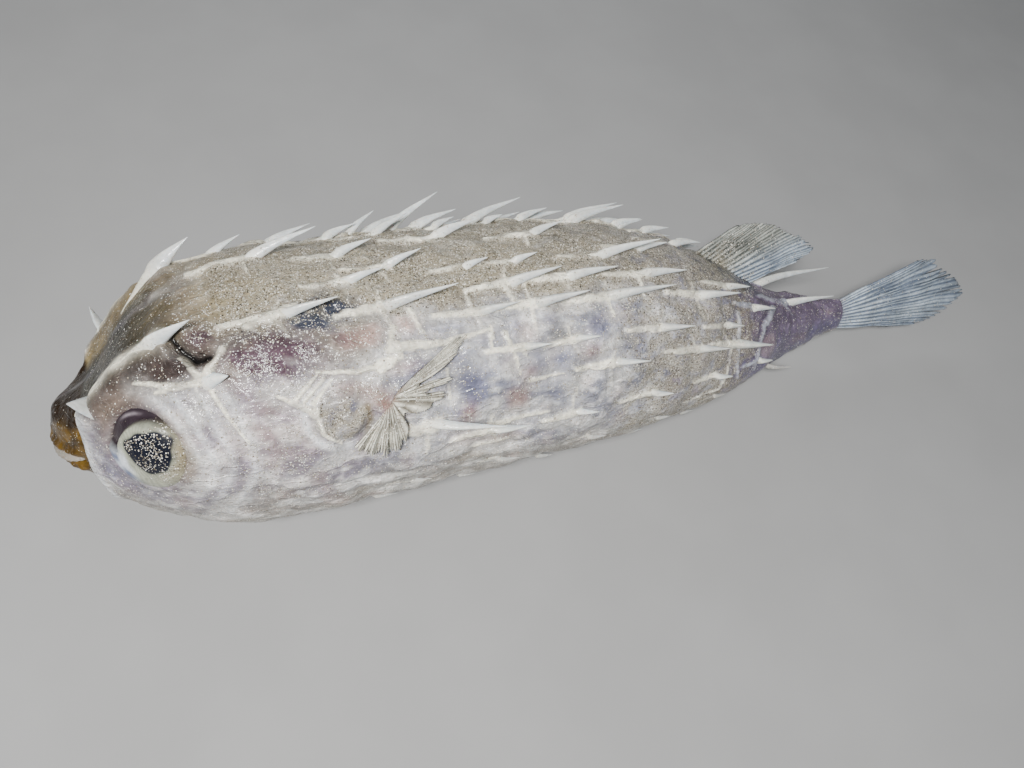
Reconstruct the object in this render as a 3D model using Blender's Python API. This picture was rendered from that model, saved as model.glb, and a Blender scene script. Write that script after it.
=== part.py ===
"""Deepwater burrfish, life size, as it lies on the sand: on the right of its belly, left side up.

The snout points to -X, the left side faces -Y and the floor is z = 0. All sizes below are in
millimetres of the real fish. A place on the body is given by how far behind the snout it is and
by its angle: 0 is the middle of the left side, 90 the back, 180 the right side, -90 the belly.
"""

import math
import random

import bpy
import numpy as np

MM = 0.001
SEED = 7
GAP = 0.3

# The whole fish
BODY_LENGTH = 318.0
ORIGIN_X = 196.9
ORIGIN_Y = 1.6
ROLL = math.radians(27)
SINK = 1.0
SQUARENESS = 2.25

# Places along the body: behind the snout, half width, half height, sideways, height of the middle
STATIONS = (
    (0.0, 2.6, 4.6, 0.6, 33.5),
    (2.0, 6.0, 9.4, 0.6, 33.8),
    (6.0, 12.0, 13.4, 0.4, 32.4),
    (13.0, 18.8, 18.6, 0.0, 32.2),
    (17.5, 26.0, 22.2, -0.5, 34.2),
    (30.0, 34.0, 34.0, -0.4, 39.5),
    (50.0, 42.0, 42.0, -1.0, 43.2),
    (75.0, 44.8, 44.8, -1.2, 44.3),
    (100.0, 44.6, 44.4, -0.2, 44.0),
    (130.0, 44.0, 43.8, 0.6, 43.4),
    (160.0, 43.2, 43.2, 1.0, 42.7),
    (190.0, 41.2, 41.2, 1.2, 40.8),
    (220.0, 36.6, 36.6, 0.9, 36.5),
    (245.0, 29.5, 29.5, 0.0, 30.6),
    (265.0, 21.6, 22.2, -0.8, 25.0),
    (285.0, 13.4, 15.0, -1.0, 21.8),
    (302.0, 8.0, 10.8, -1.2, 21.8),
    (318.0, 3.8, 7.2, -1.4, 22.4),
)

# Where one node ends and the next begins
HEAD_END = 91.0
FRONT_END = 194.0
REAR_END = 270.0

# Head
EYE_AT = (33.5, 11.0)
EYE_RADIUS = 13.5
EYE_DEPTH = 7.5
EYE_SUNK = 1.2
LID_RADIUS = 14.2
LID_TUBE = 2.1
LID_RISE = 1.2
BROW_FRONT = (17.0, 44.5)
BROW_BACK = (42.0, 27.0)
SKULL_TURN = 6.0
BROW_HEIGHT = (5.0, 2.2)
BROW_WIDTH = 5.0
BROW_FADE = 6.0
FOREHEAD_DIP = 1.8
FOREHEAD_AT = 30.0
FOREHEAD_LENGTH = 16.0
FOREHEAD_HALF_ANGLE = 24.0
SKULL_TURN_AT = 46.0
SKULL_TURN_LENGTH = 20.0
MOUTH_DROP = 3.4
MOUTH_CENTRE = 8.0
MOUTH_SIZE = (9.2, 13.8, 2.6)
BEAK_EDGE = 4.0
LIP_TUBE = 1.9
LIP_INSET = 1.6
LIP_APART = 1.1
LIP_ENDS = (95.0, 265.0)
NOSTRIL_AT = (12.5, 38.0)
NOSTRIL_CUP = (1.9, 1.6, 2.4)
NOSTRIL_HOLE = (0.9, 0.8, 1.6)
GILL_AT = (97.5, 24.0)
GILL_SIZE = (3.6, 6.0, 2.2)

# Spines: their lengths, and how they stand
LONG = 23.0
MEDIUM = 17.5
SHORT = 12.5
SMALL = 8.0
LEAN = 19.0
LOW_LEAN = 8.0
ROOT = 13.0
SPINE_HALF_THICK = 1.6
SPINE_HALF_DEPTH = 2.8
# Two cross sections of a blade: share of the way out, depth above, depth below, thickness
SPINE_SECTIONS = ((0.0, 1.0, 1.2, 1.0), (0.42, 0.7, 0.8, 0.6))
BROW_ROOT = 17.0
# A spine keeps this far from the border between two nodes, and from the floor
CLEAR_BEHIND = 9.0
CLEAR_AHEAD = 4.0
LOWEST_TIP = 1.0
LOWEST_SPINE = 5.0
LOWEST_FACING_DOWN = 9.0
FACING_DOWN = -0.8

# Rows of spines seen on the left side and the back: angle, then the place, length and, where it
# isn't the usual one, the lean of each
SEEN_ROWS = (
    (114, ((58, SHORT), (104, SHORT, 38), (118, LONG, 30), (127, MEDIUM), (147, LONG), (167, SHORT))),
    (104, ((185, LONG), (203, SHORT), (216, SHORT), (232, SHORT))),
    (93, ((71, LONG), (131, MEDIUM))),
    (88, ((97, SHORT), (164, SHORT), (222, SHORT))),
    (76, ((111, SHORT, 26), (202, SHORT))),
    (70, ((98, SHORT), (136, SMALL), (153, SMALL), (185, LONG))),
    (58, ((77, MEDIUM), (149, MEDIUM), (170, MEDIUM, 11), (200, MEDIUM, 10), (240, SHORT))),
    (55, ((108, LONG),)),
    (46, ((137, SHORT), (156, MEDIUM), (184, LONG, 15), (223, MEDIUM), (256, SHORT))),
    (36.5, ((53.5, SMALL),)),
    (27, ((150, SMALL), (168, SMALL), (202, SHORT), (236, SMALL))),
    (13, ((182, SHORT), (220, SHORT), (243, MEDIUM))),
    (1.5, ((117.5, LONG, 26),)),
    (-6, ((138, SHORT, LOW_LEAN), (168, SMALL), (200, SMALL), (232, SMALL), (261, SMALL))),
)
# Spines of the tail stem: place, angle, length, lean
STEM_SPINES = ((274.0, 104.0, 41.0, 31.0), (283.0, 66.0, 27.0, 18.0), (275.0, -39.0, 14.0, 28.0),
               (284.0, 196.0, 14.0, 18.0))
# Rows on the belly, smaller and more deeply set: angle, first place, step, how many
BELLY_ROWS = ((-30, 110, 32, 5), (-52, 96, 32, 5), (-72, 80, 32, 5))
# Spines of the brow: place, angle from the skull's middle, length, lean
BROW_SPINES = ((19.3, 43.5, 9.5, 66.0), (41.0, 27.0, 16.0, 14.0))

# Fins. Tips are millimetres to the tail and to the back from the ray's own base.
DORSAL_BASE = (236.0, 266.0)
DORSAL_TIPS = ((17.5, 10.0), (20.0, 13.0), (24.5, 14.0), (29.5, 12.5), (36.0, 9.0), (23.0, 6.0))
ANAL_BASE = (244.0, 264.0)
ANAL_RAY = 24.0
CAUDAL_HALF_BASE = 6.8
CAUDAL_TIPS = ((51.0, -14.5), (66.0, -9.5), (77.0, 0.0), (66.0, 11.0), (50.0, 20.5), (40.0, 22.0))
DORSAL_BOW = 2.5
ANAL_HEADING = (0.99, 0.08)
ANAL_HEIGHTS = (0.8, 1.6)
PECTORAL_FROM = (102.0, 11.0)
PECTORAL_TO = (106.5, 19.0)
# Pectoral rays, a crumpled lower lobe and three bundles with notches between them: share of the
# way along the base, heading with 0 to the tail and 90 to the back, and length
PECTORAL_RAYS = (
    (0.0, -148, 15), (0.12, -130, 16), (0.25, -110, 16), (0.38, -92, 16), (0.5, -76, 13),
    (0.538, -45, 5), (0.577, -6, 15), (0.615, 0, 17), (0.654, 4, 6), (0.692, 8, 18),
    (0.731, 12, 19), (0.769, 18, 7), (0.808, 25, 22), (0.88, 28, 25), (0.95, 31, 27), (1.0, 34, 25),
)
# Each fin: how many rays, points along a ray, thickness of a ray at its base and of the web
DORSAL_MAKE = (12, 5, 1.5, 0.7)
ANAL_MAKE = (10, 5, 1.4, 0.7)
CAUDAL_MAKE = (11, 6, 2.0, 0.7)
PECTORAL_MAKE = (14, 5, 1.4, 0.7)
# How far the fins' middles start off the skin, and how far the pectoral fins rise to their tips
FIN_CLEAR = 0.9
PECTORAL_CLEAR = 1.4
PECTORAL_RISE = 1.8


def axes():
    """Unit vectors to the fish's own left and to its back."""
    left = np.array([0.0, -math.cos(ROLL), math.sin(ROLL)])
    back = np.array([0.0, math.sin(ROLL), math.cos(ROLL)])
    return left, back


def smooth_between(table, column, s):
    """A curve through one column of the stations, without overshoot (monotone Hermite)."""
    x = np.array([row[0] for row in table])
    y = np.array([row[column] for row in table])
    slope = np.diff(y) / np.diff(x)
    tangent = np.zeros_like(y)
    same = slope[:-1] * slope[1:] > 0
    tangent[1:-1][same] = 2 * slope[:-1][same] * slope[1:][same] / (slope[:-1] + slope[1:])[same]
    tangent[0], tangent[-1] = slope[0], slope[-1]
    s = np.clip(s, x[0], x[-1])
    i = np.clip(np.searchsorted(x, s, side="right") - 1, 0, len(x) - 2)
    step = x[i + 1] - x[i]
    t = (s - x[i]) / step
    return (
        (2 * t**3 - 3 * t**2 + 1) * y[i]
        + (t**3 - 2 * t**2 + t) * step * tangent[i]
        + (3 * t**2 - 2 * t**3) * y[i + 1]
        + (t**3 - t**2) * step * tangent[i + 1]
    )


def skull_middle(s):
    """The angle of the skull's middle line, which is turned a little to the left behind the snout."""
    return 90.0 - SKULL_TURN * np.exp(-(((s - SKULL_TURN_AT) / SKULL_TURN_LENGTH) ** 2))


def from_skull(s, angle):
    """Degrees between an angle and the skull's middle line."""
    return np.abs((angle - skull_middle(s) + 180.0) % 360.0 - 180.0)


def relief(s, angle):
    """How far the head's brows stand out and its forehead sinks in, in millimetres."""
    along = np.clip((s - BROW_FRONT[0]) / (BROW_BACK[0] - BROW_FRONT[0]), 0, 1)
    ridge = BROW_FRONT[1] + along * (BROW_BACK[1] - BROW_FRONT[1])
    height = BROW_HEIGHT[0] + along * (BROW_HEIGHT[1] - BROW_HEIGHT[0])
    past = np.maximum(BROW_FRONT[0] - s, 0) + np.maximum(s - BROW_BACK[0], 0)
    radius = smooth_between(STATIONS, 1, s)
    aside = np.radians(from_skull(s, angle) - ridge) * radius
    brow = height * np.exp(-((aside / BROW_WIDTH) ** 2) - (past / BROW_FADE) ** 2)
    across = from_skull(s, angle) / FOREHEAD_HALF_ANGLE
    lengthways = (s - FOREHEAD_AT) / FOREHEAD_LENGTH
    return brow - FOREHEAD_DIP * np.exp(-(across**2) - lengthways**2)


def body_point(s, angle, out=0.0):
    """Points on the skin at given places, moved outwards by some millimetres."""
    s, angle = np.broadcast_arrays(np.asarray(s, float), np.asarray(angle, float))
    left, back = axes()
    turn = np.radians(angle)
    power = 2 / SQUARENESS
    aside = np.sign(np.cos(turn)) * np.abs(np.cos(turn)) ** power
    above = np.sign(np.sin(turn)) * np.abs(np.sin(turn)) ** power
    more = out + relief(s, angle)
    wide = smooth_between(STATIONS, 1, s) + more
    high = smooth_between(STATIONS, 2, s) + more
    middle = np.stack([
        s,
        smooth_between(STATIONS, 3, s),
        smooth_between(STATIONS, 4, s) - SINK,
    ], -1)
    return middle + (wide * aside)[..., None] * left + (high * above)[..., None] * back


def skin_frame(s, angle):
    """A point on the skin with unit vectors to the tail, up around the body and straight out."""
    here = body_point(s, angle)
    tailward = body_point(s + 1.0, angle) - body_point(s - 1.0, angle)
    around = body_point(s, angle + 1.0) - body_point(s, angle - 1.0)
    tailward /= np.linalg.norm(tailward)
    out = np.cross(tailward, around)
    out /= np.linalg.norm(out)
    middle = np.array([s, 0.0, smooth_between(STATIONS, 4, s)])
    if np.dot(out, here - middle) < 0:
        out = -out
    around -= tailward * np.dot(around, tailward)
    around /= np.linalg.norm(around)
    return here, tailward, around, out


def add_mesh(name, points, faces, collection=None):
    """A closed mesh from points in millimetres, turned inside in if its volume comes out negative."""
    points = np.array(points, float)
    triangles = []
    for face in faces:
        triangles += [(face[0], face[k], face[k + 1]) for k in range(1, len(face) - 1)]
    corner = points[np.array(triangles)]
    volume = np.einsum("ij,ij->", corner[:, 0], np.cross(corner[:, 1], corner[:, 2]))
    if volume < 0:
        faces = [tuple(reversed(face)) for face in faces]
    shifted = (points - np.array([ORIGIN_X, ORIGIN_Y, 0.0])) * MM
    mesh = bpy.data.meshes.new(name)
    mesh.from_pydata([tuple(p) for p in shifted], [], faces)
    mesh.update()
    obj = bpy.data.objects.new(name, mesh)
    (collection or bpy.context.scene.collection).objects.link(obj)
    return obj


def tube(rings):
    """Points and triangles of a closed tube through rings of points, its ends closed by fans."""
    count = len(rings[0])
    points = [p for ring in rings for p in ring]
    faces = []
    for i in range(len(rings) - 1):
        for j in range(count):
            a, b = i * count + j, i * count + (j + 1) % count
            faces += [(a, b, b + count), (a, b + count, a + count)]
    for ring, first, turned in ((rings[0], 0, True), (rings[-1], (len(rings) - 1) * count, False)):
        points.append(np.mean(ring, axis=0))
        hub = len(points) - 1
        for j in range(count):
            a, b = first + j, first + (j + 1) % count
            faces.append((b, a, hub) if turned else (a, b, hub))
    return points, faces


def body_piece(name, places, angles):
    """One length of the body, closed flat at both ends and flat where it rests on the floor."""
    rings = []
    for s in places:
        ring = body_point(s, angles)
        ring[:, 2] = np.maximum(ring[:, 2], 0.0)
        rings.append(ring)
    return add_mesh(name, *tube(rings))


def apply_boolean(obj, operation, others):
    """Joins the other closed meshes to obj, or cuts them out of it, in one step."""
    group = bpy.data.collections.new(obj.name + "_helpers")
    bpy.context.scene.collection.children.link(group)
    for other in others:
        for old in list(other.users_collection):
            old.objects.unlink(other)
        group.objects.link(other)
    modifier = obj.modifiers.new(operation, "BOOLEAN")
    modifier.operation = operation
    modifier.operand_type = "COLLECTION"
    modifier.collection = group
    modifier.solver = "MANIFOLD"
    bpy.context.view_layer.update()
    graph = bpy.context.evaluated_depsgraph_get()
    result = bpy.data.meshes.new_from_object(obj.evaluated_get(graph))
    obj.modifiers.clear()
    obj.data = result
    for other in others:
        bpy.data.objects.remove(other)
    bpy.data.collections.remove(group)


def keep_largest(obj):
    """Drops every loose surface of a mesh but the largest."""
    mesh = obj.data
    parent = list(range(len(mesh.vertices)))

    def root(i):
        while parent[i] != i:
            parent[i] = parent[parent[i]]
            i = parent[i]
        return i

    for edge in mesh.edges:
        a, b = root(edge.vertices[0]), root(edge.vertices[1])
        parent[a] = b
    groups = [root(i) for i in range(len(mesh.vertices))]
    largest = max(set(groups), key=groups.count)
    if groups.count(largest) == len(groups):
        return
    wanted = [i for i, g in enumerate(groups) if g == largest]
    number = {old: new for new, old in enumerate(wanted)}
    points = [tuple(mesh.vertices[i].co) for i in wanted]
    faces = [
        tuple(number[v] for v in face.vertices)
        for face in mesh.polygons
        if face.vertices[0] in number
    ]
    cleaned = bpy.data.meshes.new(obj.name)
    cleaned.from_pydata(points, [], faces)
    obj.data = cleaned


def ellipsoid(name, centre, directions, sizes, around=20, rows=9, lower=-90.0, upper=90.0):
    """An ellipsoid, or the part of it between two latitudes; the third direction is its pole."""
    rings = []
    for latitude in np.radians(np.linspace(max(lower, -84.0), min(upper, 84.0), rows)):
        ring = []
        for turn in np.linspace(0, 2 * math.pi, around, endpoint=False):
            ring.append(
                np.asarray(centre)
                + directions[0] * sizes[0] * math.cos(latitude) * math.cos(turn)
                + directions[1] * sizes[1] * math.cos(latitude) * math.sin(turn)
                + directions[2] * sizes[2] * math.sin(latitude)
            )
        rings.append(ring)
    points, faces = tube(rings)
    if lower <= -90.0:
        points[-2] = np.asarray(centre) - directions[2] * sizes[2]
    if upper >= 90.0:
        points[-1] = np.asarray(centre) + directions[2] * sizes[2]
    return add_mesh(name, points, faces)


def ring_tube(name, centres, outs, radius, sides=6):
    """A closed ring: a tube that follows centres and comes back to its start."""
    count = len(centres)
    points, faces = [], []
    for i in range(count):
        along = centres[(i + 1) % count] - centres[i - 1]
        along /= np.linalg.norm(along)
        first = outs[i] - along * np.dot(outs[i], along)
        first /= np.linalg.norm(first)
        second = np.cross(along, first)
        for k in range(sides):
            turn = 2 * math.pi * k / sides
            points.append(centres[i] + radius * (first * math.cos(turn) + second * math.sin(turn)))
    for i in range(count):
        for k in range(sides):
            a, b = i * sides + k, i * sides + (k + 1) % sides
            c, d = (i + 1) % count * sides + k, (i + 1) % count * sides + (k + 1) % sides
            faces += [(a, b, d), (a, d, c)]
    return add_mesh(name, points, faces)


def side_angle(angle, side):
    """The same place on the left side or, mirrored, on the right side."""
    return angle if side == "left" else 180.0 - angle


def eye_frame(side):
    here, tailward, around, out = skin_frame(EYE_AT[0], side_angle(EYE_AT[1], side))
    return here - out * EYE_SUNK, tailward, np.cross(out, tailward), out


def eye_solid(name, side, extra=0.0):
    centre, tailward, upward, out = eye_frame(side)
    sizes = (EYE_RADIUS + extra, EYE_RADIUS + extra, EYE_DEPTH + extra)
    return ellipsoid(name, centre, (tailward, upward, out), sizes, around=20, rows=8)


def lid_ring(side, count=20):
    """The fold of skin round the eye, lying on the head."""
    centre, tailward, upward, out = eye_frame(side)
    centres = []
    for turn in np.linspace(0, 2 * math.pi, count, endpoint=False):
        reach = tailward * math.cos(turn) + upward * math.sin(turn)
        centres.append(centre + reach * LID_RADIUS + out * LID_RISE)
    return ring_tube("lid_" + side, centres, [out] * count, LID_TUBE)


def mouth_frame():
    left, back = axes()
    middle = body_point(MOUTH_CENTRE, 0.0) + body_point(MOUTH_CENTRE, 180.0)
    return middle / 2 - back * MOUTH_DROP, np.array([1.0, 0.0, 0.0]), left, back


def mouth_solid(name, extra, rows=6, lower=-90.0, upper=90.0):
    centre, tailward, left, back = mouth_frame()
    sizes = [size + extra for size in MOUTH_SIZE]
    return ellipsoid(name, centre, (tailward, left, back), sizes, 28, rows, lower, upper)


def lips(count=26):
    """A fleshy rim round the front of the mouth, one lip above the slit and one below."""
    centre, tailward, left, back = mouth_frame()
    pieces = []
    for name, way in (("lip_upper", 1), ("lip_lower", -1)):
        rings = []
        for share in np.linspace(0, 1, count):
            turn = math.radians(LIP_ENDS[0] + share * (LIP_ENDS[1] - LIP_ENDS[0]))
            reach = tailward * math.cos(turn) * (MOUTH_SIZE[0] - LIP_INSET)
            reach = reach + left * math.sin(turn) * (MOUTH_SIZE[1] - LIP_INSET)
            full = max(math.sin(share * math.pi), 0) ** 0.5
            radius = LIP_TUBE * (0.45 + 0.55 * full)
            middle = centre + reach + back * way * (MOUTH_SIZE[2] * 0.72 * full + LIP_APART)
            outward = reach / np.linalg.norm(reach)
            rings.append([
                middle + radius * (outward * math.cos(k) + back * math.sin(k))
                for k in np.linspace(0, 2 * math.pi, 6, endpoint=False)
            ])
        pieces.append(add_mesh(name, *tube(rings)))
    return pieces


def nostril(side):
    """A low cup on the snout with an opening in its top: returns the cup and its hole."""
    here, tailward, around, out = skin_frame(NOSTRIL_AT[0], side_angle(NOSTRIL_AT[1], side))
    directions = (tailward, around, out)
    cup = ellipsoid("nostril_" + side, here, directions, NOSTRIL_CUP, 10, 5)
    top = here + out * NOSTRIL_CUP[2]
    hole = ellipsoid("hole_" + side, top, directions, NOSTRIL_HOLE, 8, 5)
    return cup, hole


def spine(s, angle, length, lean, root=ROOT, root_from=0.0):
    """One spine: a flattened blade that leans back, with a buried root that runs forward."""
    here, tailward, around, out = skin_frame(s, angle)
    lean = math.radians(lean)
    heading = tailward * math.cos(lean) + out * math.sin(lean)
    above = out * math.cos(lean) - tailward * math.sin(lean)
    end = here + heading * length
    end[2] = max(end[2], LOWEST_TIP)
    size = 0.55 + 0.45 * min(1.0, length / MEDIUM)
    root = min(root * size, s - root_from)
    points = [body_point(s - root, angle, -0.5)]
    for share, depth, down, thick in SPINE_SECTIONS:
        middle = here + (end - here) * share
        points += [
            middle + above * SPINE_HALF_DEPTH * size * depth,
            middle + around * SPINE_HALF_THICK * size * thick,
            middle - above * SPINE_HALF_DEPTH * size * depth * down,
            middle - around * SPINE_HALF_THICK * size * thick,
        ]
    points.append(end)
    faces = []
    for k in range(4):
        a, b = 1 + k, 1 + (k + 1) % 4
        faces += [(0, b, a), (a, b, b + 4), (a, b + 4, a + 4), (a + 4, b + 4, 9)]
    return add_mesh("spine", points, faces)


def all_spines():
    """Every spine of the body as (place, angle, length, lean), the right side much like the left."""
    random.seed(SEED)
    spines = []
    for angle, row in SEEN_ROWS:
        for s, length, *own in row:
            lean = own[0] if own else LEAN
            spines.append((s, angle, length, lean * random.uniform(0.9, 1.1)))
            if angle < 85:
                s += random.uniform(-3, 3)
                length *= random.uniform(0.9, 1.1)
                spines.append((s, 180 - angle, length, lean * random.uniform(0.9, 1.1)))
    spines += STEM_SPINES
    for angle, first, step, count in BELLY_ROWS:
        for side in ("left", "right"):
            for k in range(count):
                s = first + step * k + random.uniform(-2, 2)
                spines.append((s, side_angle(angle, side), SMALL * random.uniform(0.8, 1.1), LOW_LEAN))
    return spines


def node_spines(first, last):
    """The spines whose blades stand on one length of the body, kept clear of its ends."""
    halfway = (CLEAR_AHEAD - CLEAR_BEHIND) / 2
    found = []
    for s, angle, length, lean in all_spines():
        for border in (HEAD_END, FRONT_END, REAR_END):
            if border - CLEAR_BEHIND < s < border + CLEAR_AHEAD:
                s = border + (CLEAR_AHEAD if s > border + halfway else -CLEAR_BEHIND)
        here, _, _, out = skin_frame(s, angle)
        free = here[2] > LOWEST_FACING_DOWN or out[2] > FACING_DOWN
        if first < s < last and here[2] > LOWEST_SPINE and free:
            found.append(spine(s, angle, length, lean, root_from=first + 1.5))
    return found


def brow_spines():
    found = []
    for s, aside, length, lean in BROW_SPINES:
        for angle in (skull_middle(s) - aside, skull_middle(s) + aside):
            found.append(spine(s, angle, length, lean, root=BROW_ROOT))
    return found


def head_angles():
    """Angles round the head, closer together at the eyes."""
    near = np.arange(-36.0, 58.0, 4.8)
    right = 180.0 - near[::-1]
    top = np.linspace(near[-1], right[0], 8)[1:-1]
    bottom = np.linspace(right[-1], near[0] + 360.0, 10)[1:-1]
    return np.concatenate([near, top, right, bottom])


def head_places():
    snout = [0.0, 0.8, 2.2, 4.2, 6.8]
    face = list(np.linspace(9.6, 54.0, 17))
    cheek = list(np.linspace(60.0, HEAD_END, 7))
    return snout + face + cheek


def make_head():
    head = body_piece("head", head_places(), head_angles())
    added = lips()
    cutters = [mouth_solid("mouth_slot", GAP, rows=13)]
    for side in ("left", "right"):
        cup, hole = nostril(side)
        added += [lid_ring(side), cup]
        cutters += [eye_solid("socket_" + side, side, GAP), hole]
    added += brow_spines() + node_spines(0.0, HEAD_END)
    apply_boolean(head, "UNION", added)
    apply_boolean(head, "DIFFERENCE", cutters)
    keep_largest(head)
    return head


def make_trunk(name, first, last, step, count, extras=()):
    places = np.linspace(first, last, max(2, round((last - first) / step) + 1))
    trunk = body_piece(name, places, np.linspace(0, 360, count, endpoint=False))
    apply_boolean(trunk, "UNION", node_spines(first, last) + list(extras))
    keep_largest(trunk)
    return trunk


def make_material(name, colour, roughness):
    material = bpy.data.materials.new(name)
    material.use_nodes = True
    shader = material.node_tree.nodes["Principled BSDF"]
    shader.inputs["Base Color"].default_value = (*colour, 1.0)
    shader.inputs["Roughness"].default_value = roughness
    return material


def through(place, u, v):
    """The direction through a thin fin at one of its points."""
    step = 0.01
    over = place(min(u + step, 1.0), v) - place(max(u - step, 0.0), v)
    outward = place(u, min(v + step, 1.0)) - place(u, max(v - step, 0.0))
    normal = np.cross(over, outward)
    return normal / np.linalg.norm(normal)


def along_table(table, share):
    """A row of numbers read off a table at a share of the way through it."""
    table = np.array(table, float)
    rows = np.arange(len(table))
    return [np.interp(share * (len(table) - 1), rows, column) for column in table.T]


def fin(name, place, rays, rows, ray_thick, web_thick):
    """A thin fin: rays side by side, each a ridge that rises from the web on both faces.

    place(u, v) is the middle of the fin a share u of the way across it and v of the way out.
    """
    columns = 2 * rays - 1
    points = {1: [], -1: []}
    for i in range(columns):
        u = i / (columns - 1)
        for j in range(rows):
            v = j / (rows - 1)
            thick = web_thick
            if i % 2 == 0:
                thick += (ray_thick - web_thick) * (1 - v) ** 0.7
            for way in (1, -1):
                points[way].append(place(u, v) + through(place, u, v) * way * thick / 2)
    half = columns * rows
    faces = []
    for i in range(columns - 1):
        for j in range(rows - 1):
            a, b = i * rows + j, (i + 1) * rows + j
            faces += [(a, b, b + 1), (a, b + 1, a + 1)]
            faces += [(half + a, half + b + 1, half + b), (half + a, half + a + 1, half + b + 1)]
    rim = [i * rows for i in range(columns)]
    rim += [(columns - 1) * rows + j for j in range(1, rows)]
    rim += [i * rows + rows - 1 for i in range(columns - 2, -1, -1)]
    rim += [j for j in range(rows - 2, 0, -1)]
    for k, a in enumerate(rim):
        b = rim[(k + 1) % len(rim)]
        faces += [(a, half + a, half + b), (a, half + b, b)]
    return add_mesh(name, points[1] + points[-1], faces)


def make_dorsal():
    back = axes()[1]

    def place(u, v):
        s = DORSAL_BASE[0] + u * (DORSAL_BASE[1] - DORSAL_BASE[0])
        here, _, _, out = skin_frame(s, 90.0)
        tailward, above = along_table(DORSAL_TIPS, u)
        reach = np.array([tailward, 0, 0]) + back * (above + DORSAL_BOW * v * (1 - v))
        return here + out * FIN_CLEAR + reach * v

    return fin("dorsal_fin", place, *DORSAL_MAKE)


def make_anal():
    """The anal fin, folded back under the tail stem and laid along the floor."""

    def place(u, v):
        s = ANAL_BASE[0] + u * (ANAL_BASE[1] - ANAL_BASE[0])
        here, _, _, out = skin_frame(s, -90.0)
        start = here + out * FIN_CLEAR
        length = ANAL_RAY * (0.8 + 0.2 * math.sin(math.pi * u))
        end = start + np.array([*ANAL_HEADING, 0.0]) * length
        end[2] = ANAL_HEIGHTS[0] + ANAL_HEIGHTS[1] * u
        return start + (end - start) * v

    return fin("anal_fin", place, *ANAL_MAKE)


def make_caudal():
    back = axes()[1]
    root = (body_point(BODY_LENGTH, 0.0) + body_point(BODY_LENGTH, 180.0)) / 2
    root = root + np.array([GAP, 0, 0])

    def place(u, v):
        start = back * (2 * u - 1) * CAUDAL_HALF_BASE
        tailward, above = along_table(CAUDAL_TIPS, u)
        return root + start + (np.array([tailward, 0, 0]) + back * above - start) * v

    return fin("caudal_fin", place, *CAUDAL_MAKE)


def make_pectoral(side):
    shares, headings, lengths = np.array(PECTORAL_RAYS, float).T

    def place(u, v):
        s, angle = along_table((PECTORAL_FROM, PECTORAL_TO), u)
        heading = math.radians(np.interp(u, shares, headings))
        reach = np.interp(u, shares, lengths) * v
        radius = smooth_between(STATIONS, 1, s)
        s += math.cos(heading) * reach
        angle += math.degrees(math.sin(heading) * reach / radius)
        here, _, _, out = skin_frame(s, side_angle(angle, side))
        return here + out * (PECTORAL_CLEAR + PECTORAL_RISE * v)

    return fin("pectoral_fin_" + side, place, *PECTORAL_MAKE)


def gill_flap(side):
    """The fleshy edge of the gill opening, just ahead of the pectoral fin."""
    here, tailward, around, out = skin_frame(GILL_AT[0], side_angle(GILL_AT[1], side))
    return ellipsoid("gill_" + side, here, (tailward, around, out), GILL_SIZE, 12, 5)


def main():
    for obj in list(bpy.data.objects):
        bpy.data.objects.remove(obj)
    random.seed(SEED)
    skin = make_material("skin", (0.62, 0.58, 0.56), 0.5)
    fin_colour = make_material("fin", (0.55, 0.58, 0.62), 0.45)
    eye = make_material("eye", (0.05, 0.05, 0.06), 0.15)
    tooth = make_material("tooth", (0.85, 0.84, 0.78), 0.3)
    gills = [gill_flap("left"), gill_flap("right")]
    flesh = [
        make_head(),
        make_trunk("trunk_front", HEAD_END + GAP, FRONT_END, 9.0, 48, gills),
        make_trunk("trunk_rear", FRONT_END + GAP, REAR_END, 8.0, 48),
        make_trunk("peduncle", REAR_END + GAP, BODY_LENGTH, 7.0, 32),
    ]
    fins = [make_dorsal(), make_anal(), make_caudal(), make_pectoral("left"), make_pectoral("right")]
    eyes = [eye_solid("eye_left", "left"), eye_solid("eye_right", "right")]
    beaks = [
        mouth_solid("beak_upper", 0.0, lower=BEAK_EDGE),
        mouth_solid("beak_lower", 0.0, upper=-BEAK_EDGE),
    ]
    for objects, material in ((flesh, skin), (fins, fin_colour), (eyes, eye), (beaks, tooth)):
        for obj in objects:
            obj.data.materials.clear()
            obj.data.materials.append(material)
            obj.data.shade_smooth()


main()
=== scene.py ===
"""Looks of a deepwater burrfish that lies on its belly, rolled to its right, as in the photograph.

The snout points to -X, the left side faces -Y and the floor is z = 0. Sizes are in millimetres and
shapes are worked out on the same body as the solids: a place is how far it lies behind the snout
and its angle, 0 the middle of the left side, 90 the back, 180 the right side, -90 the belly.
"""

import math
import random

import bpy
import numpy as np
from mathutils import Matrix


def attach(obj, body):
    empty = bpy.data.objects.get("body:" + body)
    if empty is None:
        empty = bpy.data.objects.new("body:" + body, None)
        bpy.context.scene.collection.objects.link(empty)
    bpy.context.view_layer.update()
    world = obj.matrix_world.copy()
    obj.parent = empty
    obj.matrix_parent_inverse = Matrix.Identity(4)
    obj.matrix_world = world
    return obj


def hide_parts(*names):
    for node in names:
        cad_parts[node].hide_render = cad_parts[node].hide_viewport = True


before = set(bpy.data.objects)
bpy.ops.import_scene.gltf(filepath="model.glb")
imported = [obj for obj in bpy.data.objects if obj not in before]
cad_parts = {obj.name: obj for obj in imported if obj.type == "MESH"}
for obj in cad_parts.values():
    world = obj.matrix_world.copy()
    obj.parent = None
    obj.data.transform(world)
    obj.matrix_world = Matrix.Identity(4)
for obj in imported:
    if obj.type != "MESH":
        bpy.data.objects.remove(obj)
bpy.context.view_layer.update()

MM = 0.001
SEED = 7
SIDES = ("left", "right")
TAILWARD = np.array([1.0, 0.0, 0.0])

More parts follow.
